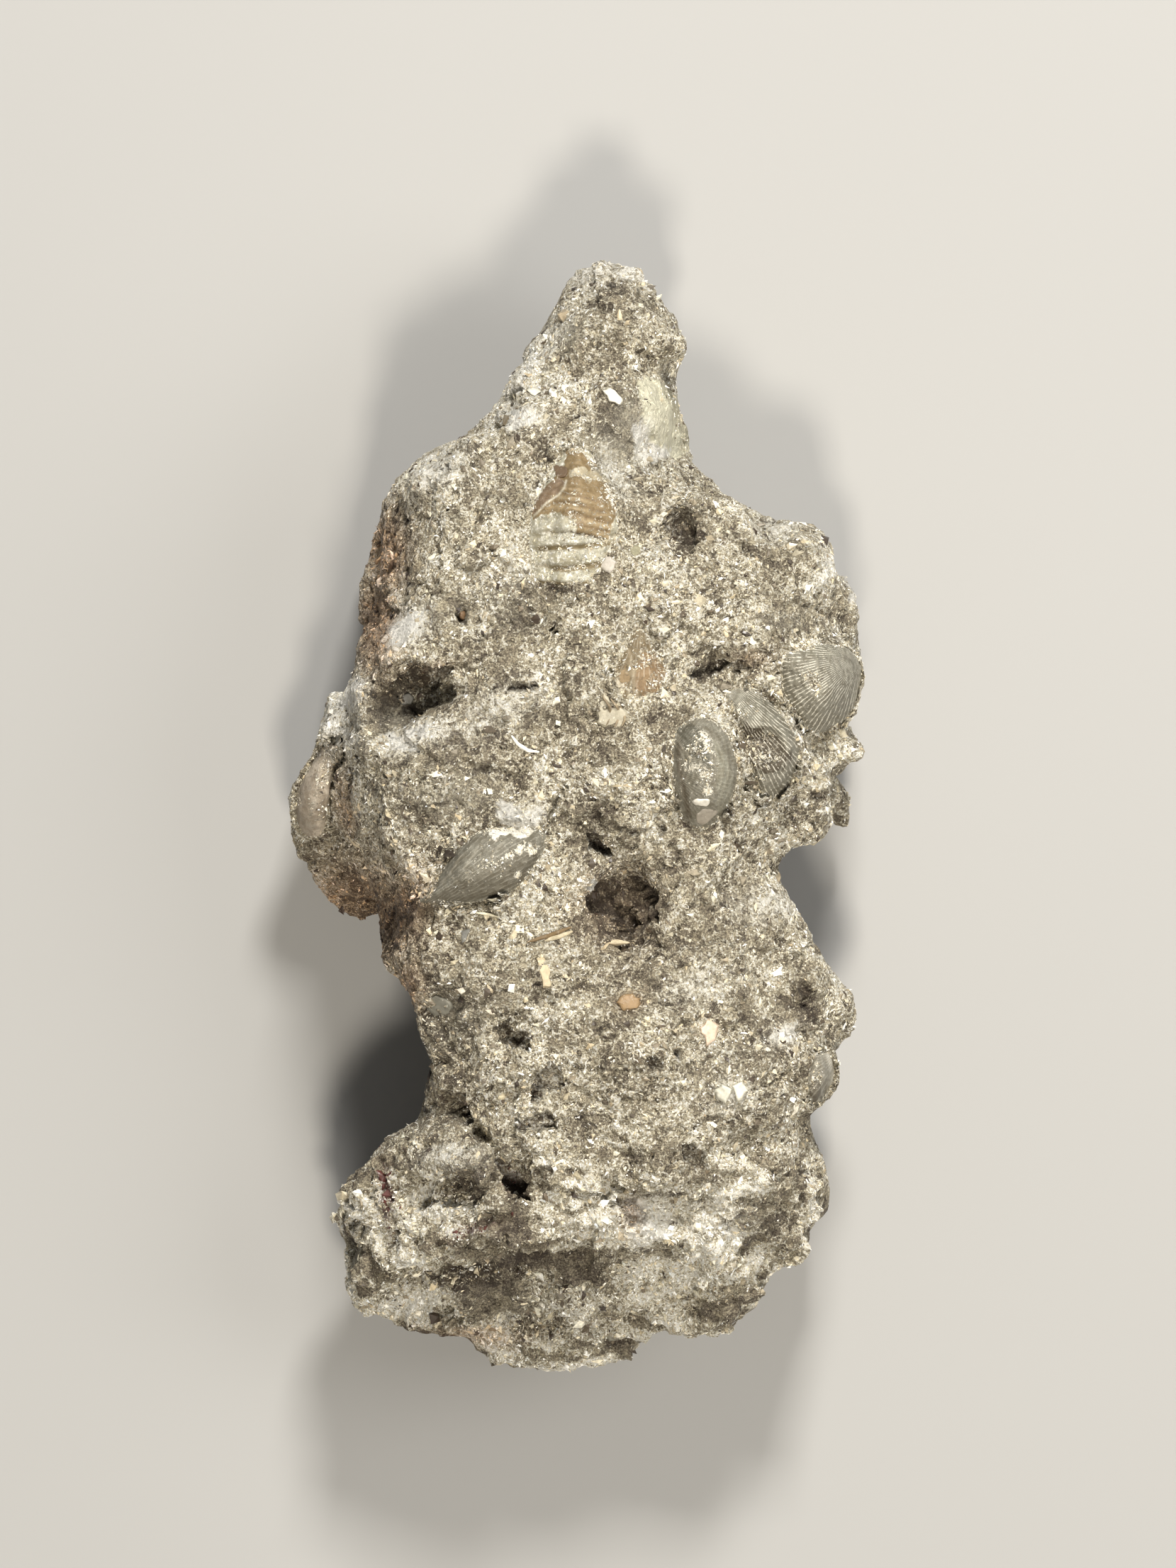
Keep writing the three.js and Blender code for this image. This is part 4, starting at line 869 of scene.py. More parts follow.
class ShellLook(bpy.types.PropertyGroup):
    """Colours of the shells."""

    grey: bpy.props.FloatVectorProperty(
        name="Grey shell", description="Satin grey valves", subtype="COLOR", default=(0.220, 0.208, 0.166))
    crust: bpy.props.FloatVectorProperty(
        name="Crust", description="White chips on the valves", subtype="COLOR", default=(0.82, 0.78, 0.66))
    brown: bpy.props.FloatVectorProperty(
        name="Shield brown", description="Brown shell of the tail shield", subtype="COLOR",
        default=(0.265, 0.195, 0.102))
    gold: bpy.props.FloatVectorProperty(
        name="Shield gold", description="Golden stripes of the tail shield", subtype="COLOR",
        default=(0.40, 0.31, 0.185))
    worn: bpy.props.FloatVectorProperty(
        name="Shield worn", description="Worn white end of the tail shield", subtype="COLOR",
        default=(0.40, 0.38, 0.295))
    # The furrow colour darkens the worn end along the furrows
    furrow: bpy.props.FloatVectorProperty(
        name="Furrows", description="Dirt in the shield's furrows", subtype="COLOR",
        default=(0.16, 0.12, 0.055))
    amber: bpy.props.FloatVectorProperty(
        name="Amber", description="Amber fragment", subtype="COLOR", default=(0.20, 0.158, 0.096))
    ledge: bpy.props.FloatVectorProperty(
        name="Ledge shell", description="Smooth shell of the left ledge", subtype="COLOR",
        default=(0.50, 0.435, 0.35))
    pale: bpy.props.FloatVectorProperty(
        name="Pale shell", description="Rounded shell of the lower right edge", subtype="COLOR",
        default=(0.27, 0.255, 0.21))


class GrainLook(bpy.types.PropertyGroup):
    """Numbers and sizes of the grains."""

    fine_count: bpy.props.IntProperty(
        name="Fine grains", description="Shards in each of the two layers", default=45000)
    fine_size: bpy.props.FloatProperty(
        name="Fine size", description="Half a shard's usual length", default=0.125 * MM, unit="LENGTH",
        precision=6)
    chip_count: bpy.props.IntProperty(
        name="Chips", description="Larger angular chips", default=5000)
    chip_size: bpy.props.FloatProperty(
        name="Chip size", description="Half a chip's usual length", default=0.25 * MM, unit="LENGTH",
        precision=6)
    crust_density: bpy.props.FloatProperty(
        name="Crust density", description="Grains on a square millimetre of a shell's box", default=14.0)
    crust_size: bpy.props.FloatProperty(
        name="Crust size", description="Half a crust grain's usual length", default=0.11 * MM,
        unit="LENGTH", precision=6)


class StudioLook(bpy.types.PropertyGroup):
    """Light, floor and camera."""

    key_power: bpy.props.FloatProperty(
        name="Key light", description="Power of the light beyond the spire", default=3.85, unit="POWER")
    foot_power: bpy.props.FloatProperty(
        name="Foot light", description="Power of the light beyond the foot", default=2.2, unit="POWER")
    fill_power: bpy.props.FloatProperty(
        name="Right light", description="Power of the soft light on the right", default=1.3, unit="POWER")
    sky: bpy.props.FloatProperty(
        name="Sky", description="Strength of the even pale surround", default=0.19)
    camera_height: bpy.props.FloatProperty(
        name="Camera height", description="Above the outline's level", default=3.0, unit="LENGTH")
    floor: bpy.props.FloatVectorProperty(
        name="Floor", description="Pale floor", subtype="COLOR", default=(0.36, 0.356, 0.345))


# Rock


# Colours of the rock and its grains from darkest to palest, and where each lies on the scale of tones
TONE_SCALE = (0.0, 0.18, 0.36, 0.54, 0.72, 0.88, 1.0)
TONES = np.array([
    (0.050, 0.036, 0.025),
    (0.125, 0.100, 0.070),
    (0.235, 0.200, 0.142),
    (0.410, 0.352, 0.245),
    (0.680, 0.605, 0.430),
    (0.840, 0.790, 0.630),
    (0.940, 0.920, 0.850),
])
# Round the shells, in millimetres: how wide the edge of rock over their rims is, its mean height and how
# much that varies, the distances at which a rim is looked for, how far the rock beside it may be off its
# level, and how steeply it may then fall and rise
EDGE_WIDTH = 0.36
CREST, CREST_SWING = 0.03, 0.15
BANK_STEPS = (0.12, 0.25, 0.4, 0.6, 0.85, 1.1)
BANK_LIP, BANK_FALL, BANK_RISE = 0.05, 0.9, 0.45
# The mesh is twice as fine where it faces up this much and lies this high, in millimetres
FINE_FACING = 0.15
FINE_LEVEL = 9
# The foot's face begins and is in full at these places along the length, and its grain is drawn out
FOOT_TOP_MM = -26.0
FOOT_FULL_MM = -31.0
FOOT_STRETCH = np.array((0.42, 1.15, 1.15))
# Kinds of broken faces and the knobs, each as (size in millimetres, seed, tilt)
COARSE_FACES = (5.2, 11, 1.0)
LEDGES = (2.9, 15, 1.1)
MIDDLE_FACES = (2.1, 31, 1.1)
SMALL_FACES = (0.95, 51, 1.2)
KNOBS = (1.4, 41, 1.0)
# Raggedness of the crisp shapes, in millimetres
HOLLOW_RAGGED = 0.2
BAND_RAGGED = 0.12
BAND_RIM_RAGGED = 0.2
WHITE_RAGGED = 0.3
WHITE_CHIP = (0.92, 0.90, 0.83)


def foot_share(points):
    """0 above the foot and 1 on its face, where ledges and patches are drawn out sideways."""
    return ease(-points[:, 1], -FOOT_TOP_MM, -FOOT_FULL_MM)


def patches(points):
    """Cream patches, towards 1, and grey ones, towards -1."""
    def mottle(p):
        return 0.65 * soft_noise(p, 2.7, 24) + 0.5 * soft_noise(p, 1.1, 26) + 0.2 * soft_noise(p, 7.0, 28)

    foot = foot_share(points)
    streaks = np.clip(3.4 * mottle(points * FOOT_STRETCH), -1.5, 1.5)
    return (1 - foot) * mottle(points) + foot * streaks


def rock_material(look):
    """Cemented crumbly limestone: grey-brown plates laced and patched with cream crumbs."""
    n = Nodes("crumbly limestone")
    bent = n.bent(0.8, 0.45)
    plate = n.cells(0.85, place=bent)
    lace = n.cells(0.85, "DISTANCE_TO_EDGE", bent).outputs["Distance"]
    crumb = n.cells(0.3)
    plate_tone = n.add("ShaderNodeSeparateColor", {"Color": plate.outputs["Color"]})
    crumb_tone = n.add("ShaderNodeSeparateColor", {"Color": crumb.outputs["Color"]})
    wisp = n.noise(0.6, 5, 0.75, 0.7)
    fine = n.noise(0.22, 4, 0.8)
    patch, pale, dark = n.value("patch"), n.value("pale"), n.value("dark")
    sharp = n.span(fine, 0.38, 0.62)
    sharper = n.span(n.noise(0.16, 3, 0.8), 0.42, 0.58)
    # The level rises on the pale zones, partly as painted highlight, falls on the dark zones as painted
    # shade, and is lower in the fine hollows of the relief
    shift = n.sum(-0.02, (patch, 0.11), (pale, 0.22), (dark, -0.32), (n.value("cavity"), -0.18))
    plate_level = n.sum(0.02, (plate_tone.outputs[0], 0.36), (sharp, 0.22), (sharper, 0.32), (shift, 1.0))
    crumb_level = n.sum(0.13, (crumb_tone.outputs[1], 0.46), (sharp, 0.36), (sharper, 0.52), (shift, 1.0))
    lean = n.sum(wisp, (patch, 0.14), (pale, 0.18), (n.value("grey"), -0.16), (dark, -0.14))
    crumbs = n.span(lean, 0.47, 0.57)
    laced = n.times(n.span(lace, 0.16, 0.04), n.span(n.sum(lean, (fine, 0.3)), 0.50, 0.60))
    share = n.math("MAXIMUM", crumbs, laced)
    plates = n.times(plate_level, n.math("SUBTRACT", 1.0, share))
    level = n.math("ADD", plates, n.times(crumb_level, share), clamp=True)
    colour = n.steps(level, list(zip(TONE_SCALE, TONES)), smooth=True)
    colour = n.mix(n.times(n.value("grey"), 0.5), colour,
                   n.mix(n.span(fine, 0.44, 0.60), look.grey, (0.54, 0.52, 0.43)))
    # The flank's brown: partly the rock's own brown, partly a painted warm reflection and painted shade
    tint_and_painted_reflection = n.mix(1.0, colour, (0.84, 0.66, 0.54), "MULTIPLY")
    tint_and_painted_reflection = n.mix(0.3, tint_and_painted_reflection, look.flank)
    colour = n.mix(n.times(n.value("brown"), 0.9), colour, tint_and_painted_reflection)
    colour = n.mix(n.value("band"), colour, n.mix(n.span(wisp, 0.36, 0.56), (0.80, 0.76, 0.57), look.band))
    colour = n.mix(n.value("rim"), colour, n.mix(n.span(wisp, 0.4, 0.6), look.rim, (0.70, 0.65, 0.48)))
    # White: pale rock and white chips, and painted highlight where the pale zones and white shapes lie on lit
    # rims
    white = n.times(pale, n.span(n.sum(wisp, (sharp, 0.12)), 0.48, 0.56))
    white = n.math("MAXIMUM", white, n.times(n.value("white"), n.span(wisp, 0.34, 0.46)))
    colour = n.mix(n.times(white, 0.85), colour, WHITE_CHIP)
    colour = n.mix(n.times(n.value("maroon"), n.span(wisp, 0.44, 0.5)), colour, look.maroon)
    # Painted shade: the dark zones and the crisp hollows' painted shadows take the hollow colour
    dark_and_shade = n.times(dark, n.span(n.sum(wisp, (sharp, 0.14)), 0.62, 0.54, 0.15, 0.92))
    shadow = n.times(n.value("shadow"), n.span(n.sum(wisp, (sharp, 0.2)), 0.72, 0.56, 0.3, 0.95))
    colour = n.mix(n.math("MAXIMUM", dark_and_shade, shadow), colour, look.hollow)
    gloss = n.span(plate_tone.outputs[2], 0.6, 1.0, 0.85, 0.42)
    heights = n.sum(wisp, (crumb.outputs["Distance"], -0.9), (share, 0.5), (fine, 1.6))
    return n.finish(Base_Color=colour, Roughness=gloss, Normal=n.bump(heights, 0.26, 1.0))


def rock_relief(points, outward):
    """Displacement of the rock's skin in millimetres, and how deep in a cavity each point is."""
    foot = foot_share(points)
    bend = in_three(soft_noise, points, 2.4, seed=61)
    ragged = points + 0.75 * bend + 0.3 * np.roll(bend, 1, axis=1)
    ragged += 0.25 * in_three(soft_noise, points, 0.8, seed=65)
    coarse, coarse_crack, _ = broken_faces(ragged, *COARSE_FACES)
    ledge, ledge_crack, _ = broken_faces(ragged * FOOT_STRETCH, *LEDGES)
    middle, middle_crack, _ = broken_faces(ragged + 40, *MIDDLE_FACES)
    small, small_crack, _ = broken_faces(points + 90, *SMALL_FACES)
    _, _, away = broken_faces(points + 10, *KNOBS)
    knobs = 0.75 - away
    soft = soft_noise(points, 3.4, 71)
    grit = soft_noise(points, 0.5, 81)
    fine = 0.22 * middle + 0.17 * small + 0.08 * grit - 0.10 * middle_crack - 0.07 * small_crack
    fine += (0.16 + 0.85 * foot) * knobs
    ledges = 0.85 * ledge - 0.25 * ledge_crack
    broad = (1 - foot) * (0.5 * coarse - 0.08 * coarse_crack) + foot * ledges + 0.2 * soft
    upper = ease(outward[:, 2], 0.0, 0.45)
    offset = broad * (0.25 + 0.75 * upper) + 1.12 * fine * (0.55 + 0.45 * upper)
    return offset, ease(-fine, -0.02, 0.26)


def even_rock(look):
    """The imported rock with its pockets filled, as an even mesh that is finer on the fossil face."""
    fillers = [grown_copy(node, look.fill_outwards / MM, look.fill_down / MM) for node in FOSSILS]
    mesh = remeshed("limestone_matrix", look.mesh_step / MM, 3, fillers, LUMPS.values())
    level = threes(mesh.polygons, "center")[:, 2] / MM
    upward = threes(mesh.polygons, "normal")[:, 2]
    split_faces(mesh, np.flatnonzero((upward > FINE_FACING) & (level > FINE_LEVEL)))
    return mesh


def placed_relief(points):
    """The rises, cracks and crisp hollows of the fossil face at each point, in millimetres."""
    rise = -hollowed(points)[0]
    for px, py, reach_x, reach_y, turn, height in FACE_RELIEF.values():
        rise += height * bowl(points, px, py, reach_x, reach_y, turn)
    for line, width, height in FACE_CRACKS.values():
        rise += height * near_line(points, line, width)
    return rise


def fit_round_shells(points, upper, look):
    """Presses the rock's skin down under the shells and lays it against their rims."""
    shells = Surface([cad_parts[node] for node in FOSSILS])
    tops = shells.heights(points[:, :2], missing=ABOVE_ALL)
    outside = (upper > 0) & (tops > ABOVE_ALL / 2)
    under = (upper > 0) & ~outside & (points[:, 2] > tops - look.under_shell_reach / MM)
    crest = CREST + CREST_SWING * soft_noise(points[under], 0.7, 37)
    edge = shells.at_edge(points[under], EDGE_WIDTH)
    pressed = np.minimum(points[under, 2], tops[under] - look.under_shell / MM)
    points[under, 2] = np.where(edge, tops[under] + crest, pressed)
    points[outside, 2] = shells.banked(points[outside], BANK_STEPS, BANK_LIP, BANK_FALL, BANK_RISE)


class FOSSIL_OT_limestone(bpy.types.Operator):
    """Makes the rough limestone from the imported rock"""

    bl_idname = "fossil.limestone"
    bl_label = "Limestone"

    def execute(self, context):
        look = context.scene.fossil_rock
        mesh = even_rock(look)
        points = coordinates(mesh)
        outward = normals(mesh)
        upper = ease(outward[:, 2], 0.1, 0.6)
        offset, cavity = rock_relief(points, outward)
        offset *= 1 - 0.75 * zone(points, SMOOTH_SPOTS)
        offset += upper * placed_relief(points)
        moved = points + offset[:, None] * outward
        fit_round_shells(moved, upper, look)
        moved[:, 2] = np.maximum(moved[:, 2], 0.0)
        set_coordinates(mesh, moved)
        # The shadow and dark values carry painted shade, the pale and white values pale rock and painted
        # highlight, and the brown value brown rock and a painted warm reflection
        values = {
            "cavity": cavity,
            "patch": patches(points),
            "shadow": hollowed(points)[1],
            "band": inside(points, BAND_SHAPE, BAND_RAGGED),
            "rim": inside(points, BAND_RIM, BAND_RIM_RAGGED),
            "white": np.maximum.reduce(
                [inside(points, shape, WHITE_RAGGED) for shape in WHITE_AND_HIGHLIGHT_SHAPES.values()]),
            "pale": zone(points, PALE_AND_HIGHLIGHT_SPOTS),
            "dark": zone(points, DARK_AND_SHADE_SPOTS),
            "brown": zone(points, BROWN_AND_REFLECTION_SPOTS),
            "maroon": zone(points, MAROON_SPOTS),
            "grey": zone(points, GREY_SPOTS),
        }
        for name, numbers in values.items():
            add_values(mesh, name, numbers)
        mesh.materials.append(rock_material(look))
        mesh.polygons.foreach_set("use_smooth", np.zeros(len(mesh.polygons), bool))
        new_piece("limestone", mesh, "limestone", ("limestone_matrix",))
        return {"FINISHED"}


# Shells

# White crust on the shells
CRUST_SPOTS = {
    "lower left shell, right end": (752, 1198, 0.5, 0.5, 0.0, 1.1),
    "lower left shell, patch": (733, 1198, 0.6, 0.35, 0.8, 1.2),
    "lower left shell, low patch": (720, 1207, 0.6, 0.25, 0.3, 0.9),
    "lower left shell, chip": (731, 1233, 0.4, 0.25, 0.6, 1.2),
    "plate of the centre shell": (995, 1043, 0.5, 1.2, 0.5, 0.8),
    "middle of the centre shell": (985, 1085, 1.0, 0.5, -0.6, 0.7),
    "foot of the centre shell": (998, 1118, 0.5, 0.4, 0.0, 0.9),
    "between the shield's cap and its ribs": (826, 674, 1.3, 0.3, -0.2, 0.7),
    "right rim of the shield": (860, 700, 0.45, 1.5, 0.3, 0.8),
    "right specks of the shield": (851, 706, 0.5, 1.1, 0.3, 0.5),
    "point of the amber shell": (872, 975, 0.5, 1.2, 0.0, 0.7),
    "foot of the amber shell": (905, 990, 1.6, 0.4, 0.0, 0.7),
    "right edge shell": (1180, 905, 1.2, 0.5, 0.2, 0.6),
}
CREAM = (0.60, 0.56, 0.44)
WHITE = (0.84, 0.82, 0.74)
SHADE = (0.085, 0.068, 0.045)
# Coats of colour on the shells, as (kind, colour, photo pixels, raggedness or width in millimetres,
# strength)
COATS = {
    "brachiopod_lower_left": [
        ("area", (0.185, 0.175, 0.14),
         [(585, 1275), (640, 1190), (700, 1165), (760, 1170), (772, 1190), (735, 1204), (690, 1221),
          (640, 1243), (600, 1262)], 0.25, 0.9),
        ("line", (0.34, 0.32, 0.26), [(655, 1225), (668, 1206), (676, 1192)], 0.1, 0.7),
        ("line", (0.34, 0.32, 0.26), [(622, 1248), (640, 1225), (650, 1208)], 0.1, 0.7),
        ("line", (0.34, 0.32, 0.26), [(690, 1212), (703, 1196), (712, 1188)], 0.1, 0.6),
        ("area", SHADE,
         [(590, 1275), (640, 1247), (690, 1224), (735, 1207), (762, 1194), (760, 1215), (740, 1243),
          (700, 1262), (640, 1276)], 0.2, 0.35),
        ("area", WHITE,
         [(690, 1170), (712, 1163), (745, 1166), (755, 1174), (738, 1181), (722, 1179), (706, 1177),
          (701, 1189), (695, 1184)], 0.25, 0.9),
    ],
    "brachiopod_centre": [
        ("area", (0.115, 0.11, 0.085),
         [(953, 1032), (972, 1020), (990, 1032), (1003, 1062), (1004, 1085), (985, 1072), (962, 1055)],
         0.2, 0.95),
        ("area", (0.27, 0.26, 0.205),
         [(1003, 1040), (1022, 1060), (1034, 1095), (1030, 1130), (1012, 1150), (1010, 1110), (1012, 1075)],
         0.15, 0.8),
        ("line", SHADE, [(956, 1050), (958, 1085), (966, 1120), (972, 1150)], 0.3, 0.8),
    ],
    "brachiopod_centre_right": [
        ("area", (0.19, 0.182, 0.143),
         [(1030, 975), (1075, 985), (1110, 1010), (1124, 1045), (1105, 1040), (1075, 1020), (1035, 1010)],
         0.15, 0.8),
        ("area", (0.07, 0.055, 0.036),
         [(1030, 1018), (1070, 1026), (1105, 1046), (1118, 1070), (1095, 1090), (1050, 1085), (1030, 1050)],
         0.35, 0.9),
    ],
    "brachiopod_right_edge": [
        ("area", (0.23, 0.22, 0.172),
         [(1125, 915), (1150, 885), (1200, 880), (1222, 910), (1190, 925), (1150, 930)], 0.2, 0.7),
        ("line", (0.36, 0.34, 0.27), [(1198, 880), (1215, 905), (1218, 950), (1207, 990)], 0.35, 0.8),
    ],
    "amber_shell_fragment": [
        ("area", (0.26, 0.175, 0.095),
         [(905, 918), (922, 924), (938, 945), (930, 972), (905, 985), (896, 960)], 0.2, 0.8),
        ("area", (0.28, 0.20, 0.11), [(866, 955), (880, 940), (888, 960), (880, 978), (868, 975)], 0.2, 0.7),
        ("line", (0.46, 0.39, 0.28), [(886, 917), (893, 945), (897, 985)], 0.16, 0.4),
        ("area", CREAM, [(880, 980), (905, 986), (930, 974), (925, 990), (890, 1000)], 0.25, 0.6),
    ],
    "shell_left_ledge": [
        ("line", (0.50, 0.42, 0.33), [(478, 1050), (447, 1052), (425, 1095), (410, 1122)], 0.3, 0.7),
        ("area", (0.20, 0.165, 0.125),
         [(425, 1100), (450, 1085), (460, 1140), (440, 1180), (420, 1172), (412, 1150)], 0.3, 0.5),
    ],
    "shell_lower_right_edge": [
        ("line", (0.66, 0.63, 0.54), [(1165, 1482), (1177, 1510), (1172, 1545), (1155, 1563)], 0.3, 0.8),
        ("area", SHADE, [(1140, 1530), (1158, 1520), (1160, 1548), (1145, 1560)], 0.2, 0.7),
    ],
}
# How far, in millimetres, the shells' rims are set out to meet the rock
RIM_GROWTH = 0.2
# Each brachiopod: its beak as a photo pixel, ribs in a full turn, millimetres between growth lines, how
# strongly white lines follow the ribs, and how far its rim is set out, in millimetres
BRACHIOPODS = {
    "brachiopod_lower_left": ((520, 1330), 230, 0.9, 0.15, RIM_GROWTH),
    "brachiopod_centre": ((930, 1080), 110, 0.42, 0.1, RIM_GROWTH),
    "brachiopod_centre_right": ((1000, 940), 190, 0.7, 0.6, RIM_GROWTH),
    "brachiopod_right_edge": ((1215, 925), 120, 0.55, 0.65, 0.5),
}
BRACHIOPOD_STEP = 0.12
# The other shells: material, beak, ribs, growth lines and white lines as above, share of chips, mesh step
# in millimetres, slot and the setting that holds the colour
FRAGMENTS = {
    "amber_shell_fragment": ("amber shell", (905, 870), 60, 0.9, 0.15, 0.6, 0.1, "amber_shell", "amber"),
    "shell_left_ledge": ("smooth shell", (470, 1000), 30, 1.4, 0.1, 0.5, 0.12, "smooth_shell", "ledge"),
    "shell_lower_right_edge": ("pale shell", (1190, 1480), 60, 0.6, 0.2, 0.6, 0.1, "pale_shell", "pale"),
}


def shell_material(name, look, beak, ribs, rings, lines, chips=0.75):
    """Satin shell with fine ribs that spread from its beak, growth lines across them and white chips."""
    n = Nodes(name)
    away, angle = n.polar(*plan_of(*beak))
    wobble = n.noise(1.7, 3, 0.6)
    rib = n.wave(angle, ribs, wobble, 9.0)
    ring = n.wave(away, math.tau / rings, wobble, 7.0)
    mottle = n.noise(0.8, 5, 0.72)
    tone = n.colour("tone")
    shaded = n.mix(1.0, tone, (0.68, 0.65, 0.60), "MULTIPLY")
    colour = n.mix(n.span(mottle, 0.56, 0.40), tone, shaded)
    colour = n.mix(n.span(ring, 0.3, 1.0, 0.0, 0.35), colour, shaded)
    broken = n.span(n.noise(0.7, 4, 0.7), 0.42, 0.54)
    hair = n.times(n.span(rib, 0.45, 0.85), broken)
    colour = n.mix(n.times(hair, lines), colour, look.crust)
    speck = n.sum(n.noise(0.4, 5, 0.78, 0.5), (n.value("crust"), 0.20), (n.value("rock_rim"), 0.10))
    chip_share = n.span(speck, 0.60, 0.64, 0.0, chips)
    crust = n.mix(n.span(n.noise(0.3, 3, 0.7), 0.4, 0.6), (0.42, 0.37, 0.27), look.crust)
    crust = n.mix(n.value("crust"), crust, look.crust)
    colour = n.mix(chip_share, colour, crust)
    heights = n.sum(0.0, (rib, 0.08), (ring, 0.25), (mottle, 1.6), (chip_share, 1.8))
    gloss = n.span(mottle, 0.3, 0.7, 0.5, 0.75)
    return n.finish(
        Base_Color=colour, Roughness=gloss, Specular_IOR_Level=0.3, Normal=n.bump(heights, 0.09, 0.9))


def dress_shell(node, step, base, coats, material, slot, ground, grow=RIM_GROWTH):
    """A shell's fine mesh in place of its CAD node, with its colours and its crust."""
    mesh = remeshed(node, step, 4)
    points = coordinates(mesh)
    away = points[:, :2] - (points[:, :2].max(axis=0) + points[:, :2].min(axis=0)) / 2
    points[:, :2] += grow * unit(away)
    swell = 0.03 + 0.07 * soft_noise(points, 1.6, 91) + 0.03 * soft_noise(points, 0.6, 92)
    points += swell[:, None] * normals(mesh)
    set_coordinates(mesh, points)
    proud = points[:, 2] - ground.heights(points[:, :2])
    add_values(mesh, "crust", zone(points, CRUST_SPOTS))
    add_values(mesh, "rock_rim", ease(-proud, -0.5, -0.05))
    add_colours(mesh, "tone", painted(points, base, coats))
    mesh.materials.append(material)
    mesh.polygons.foreach_set("use_smooth", np.ones(len(mesh.polygons), bool))
    return new_piece(node + "_shell", mesh, slot, (node,))


def rock_surface():
    """The dressed rock, to find heights on."""
    return Surface([bpy.data.objects["limestone"]])


def dressed_shells():
    """The shells' pieces."""
    return [bpy.data.objects[node + "_shell"] for node in FOSSILS]


class FOSSIL_OT_brachiopods(bpy.types.Operator):
    """Makes the four grey brachiopod valves"""

    bl_idname = "fossil.brachiopods"
    bl_label = "Brachiopods"

    def execute(self, context):
        look = context.scene.fossil_shells
        ground = rock_surface()
        for node, (*pattern, grow) in BRACHIOPODS.items():
            name = node.replace("brachiopod", "satin grey shell")
            material = shell_material(name, look, *pattern)
            dress_shell(
                node, BRACHIOPOD_STEP, look.grey, COATS[node], material, "grey_shell", ground, grow)
        return {"FINISHED"}


# Parts of the tail shield, in photo pixels: its brown shell, the left lobe, the cap, the golden stripes,
# the white line beside the axis, the dark crack at the brown shell's end and the dark furrows
BROWN_SHELL = [
    (799, 634), (815, 634), (840, 654), (856, 668), (866, 690), (870, 720), (862, 745), (859, 761),
    (847, 762), (828, 756), (814, 753), (817, 747), (807, 733), (790, 725), (767, 726), (751, 735),
    (752, 715), (768, 692), (786, 672), (798, 655),
]
LEFT_LOBE = [(797, 680), (790, 697), (770, 712), (755, 727), (751, 722), (758, 702), (776, 685), (788, 676)]
CAP_GAP = [(800, 664), (812, 662), (836, 664), (853, 672), (850, 682), (826, 676), (806, 674)]
GREY_GAP = [(833, 655), (845, 660), (855, 668), (850, 674), (836, 668)]
GOLD_STRIPES = [
    ([(792, 690), (815, 694), (842, 702)], 0.14), ([(780, 702), (812, 706), (850, 716)], 0.15),
    ([(774, 716), (800, 716), (830, 725), (857, 733)], 0.2), ([(806, 729), (830, 737), (860, 744)], 0.22),
    ([(818, 748), (840, 753), (858, 758)], 0.24),
]
DARK_RINGS = [
    ([(790, 697), (815, 701), (848, 710)], 0.11), ([(782, 710), (812, 712), (852, 724)], 0.11),
    ([(800, 722), (828, 731), (858, 739)], 0.12), ([(812, 741), (838, 747), (858, 751)], 0.1),
]
AXIS_LINE = [(799, 680), (796, 690), (789, 699), (771, 711), (762, 721), (754, 729)]
SHIELD_CRACK = [(812, 754), (831, 757), (845, 761), (852, 762)]
FURROWS = [
    ([(762, 775), (790, 774), (815, 773), (836, 771), (858, 768)], 0.24, 0.75),
    ([(768, 751), (790, 753), (806, 751)], 0.16, 0.35),
    ([(782, 803), (800, 804), (812, 802), (830, 800), (846, 797)], 0.26, 0.95),
    ([(757, 822), (775, 825), (800, 826), (833, 825)], 0.2, 0.9),
    ([(756, 799), (770, 800), (784, 802)], 0.2, 0.4),
]


def shield_material(look):
    """Brown ribbed shell with fine rings, worn to lumpy white ridges at its broad end."""
    n = Nodes("tail shield")
    brown = n.value("brown")
    mottle = n.noise(0.6, 5, 0.75)
    beads = n.noise(0.8, 3, 0.6)
    tone = n.colour("tone")
    shaded = n.mix(1.0, tone, (0.62, 0.58, 0.50), "MULTIPLY")
    colour = n.mix(n.span(mottle, 0.62, 0.40), tone, shaded)
    spot = n.span(n.noise(0.4, 4, 0.75), 0.54, 0.62, 0.0, 0.7)
    worn = n.mix(n.span(beads, 0.52, 0.40, 0.0, 0.6), tone, (0.30, 0.265, 0.17))
    worn = n.mix(spot, worn, (0.88, 0.86, 0.79))
    worn = n.mix(n.span(n.value("furrow"), 0.1, 0.6, 0.0, 0.95), worn, look.furrow)
    colour = n.mix(brown, worn, colour)
    speck = n.sum(n.noise(0.3, 5, 0.8, 0.5), (n.value("crust"), 0.15), (n.value("rock_rim"), 0.08))
    chip_share = n.span(speck, 0.60, 0.64, 0.0, 0.9)
    colour = n.mix(chip_share, colour, look.crust)
    heights = n.sum(0.0, (mottle, 1.2), (beads, 0.9), (chip_share, 1.2))
    gloss = n.span(mottle, 0.3, 0.7, 0.40, 0.62)
    return n.finish(Base_Color=colour, Roughness=gloss, Normal=n.bump(heights, 0.1, 0.9))


SHIELD_STEP = 0.1
BROWN_RAGGED = 0.18


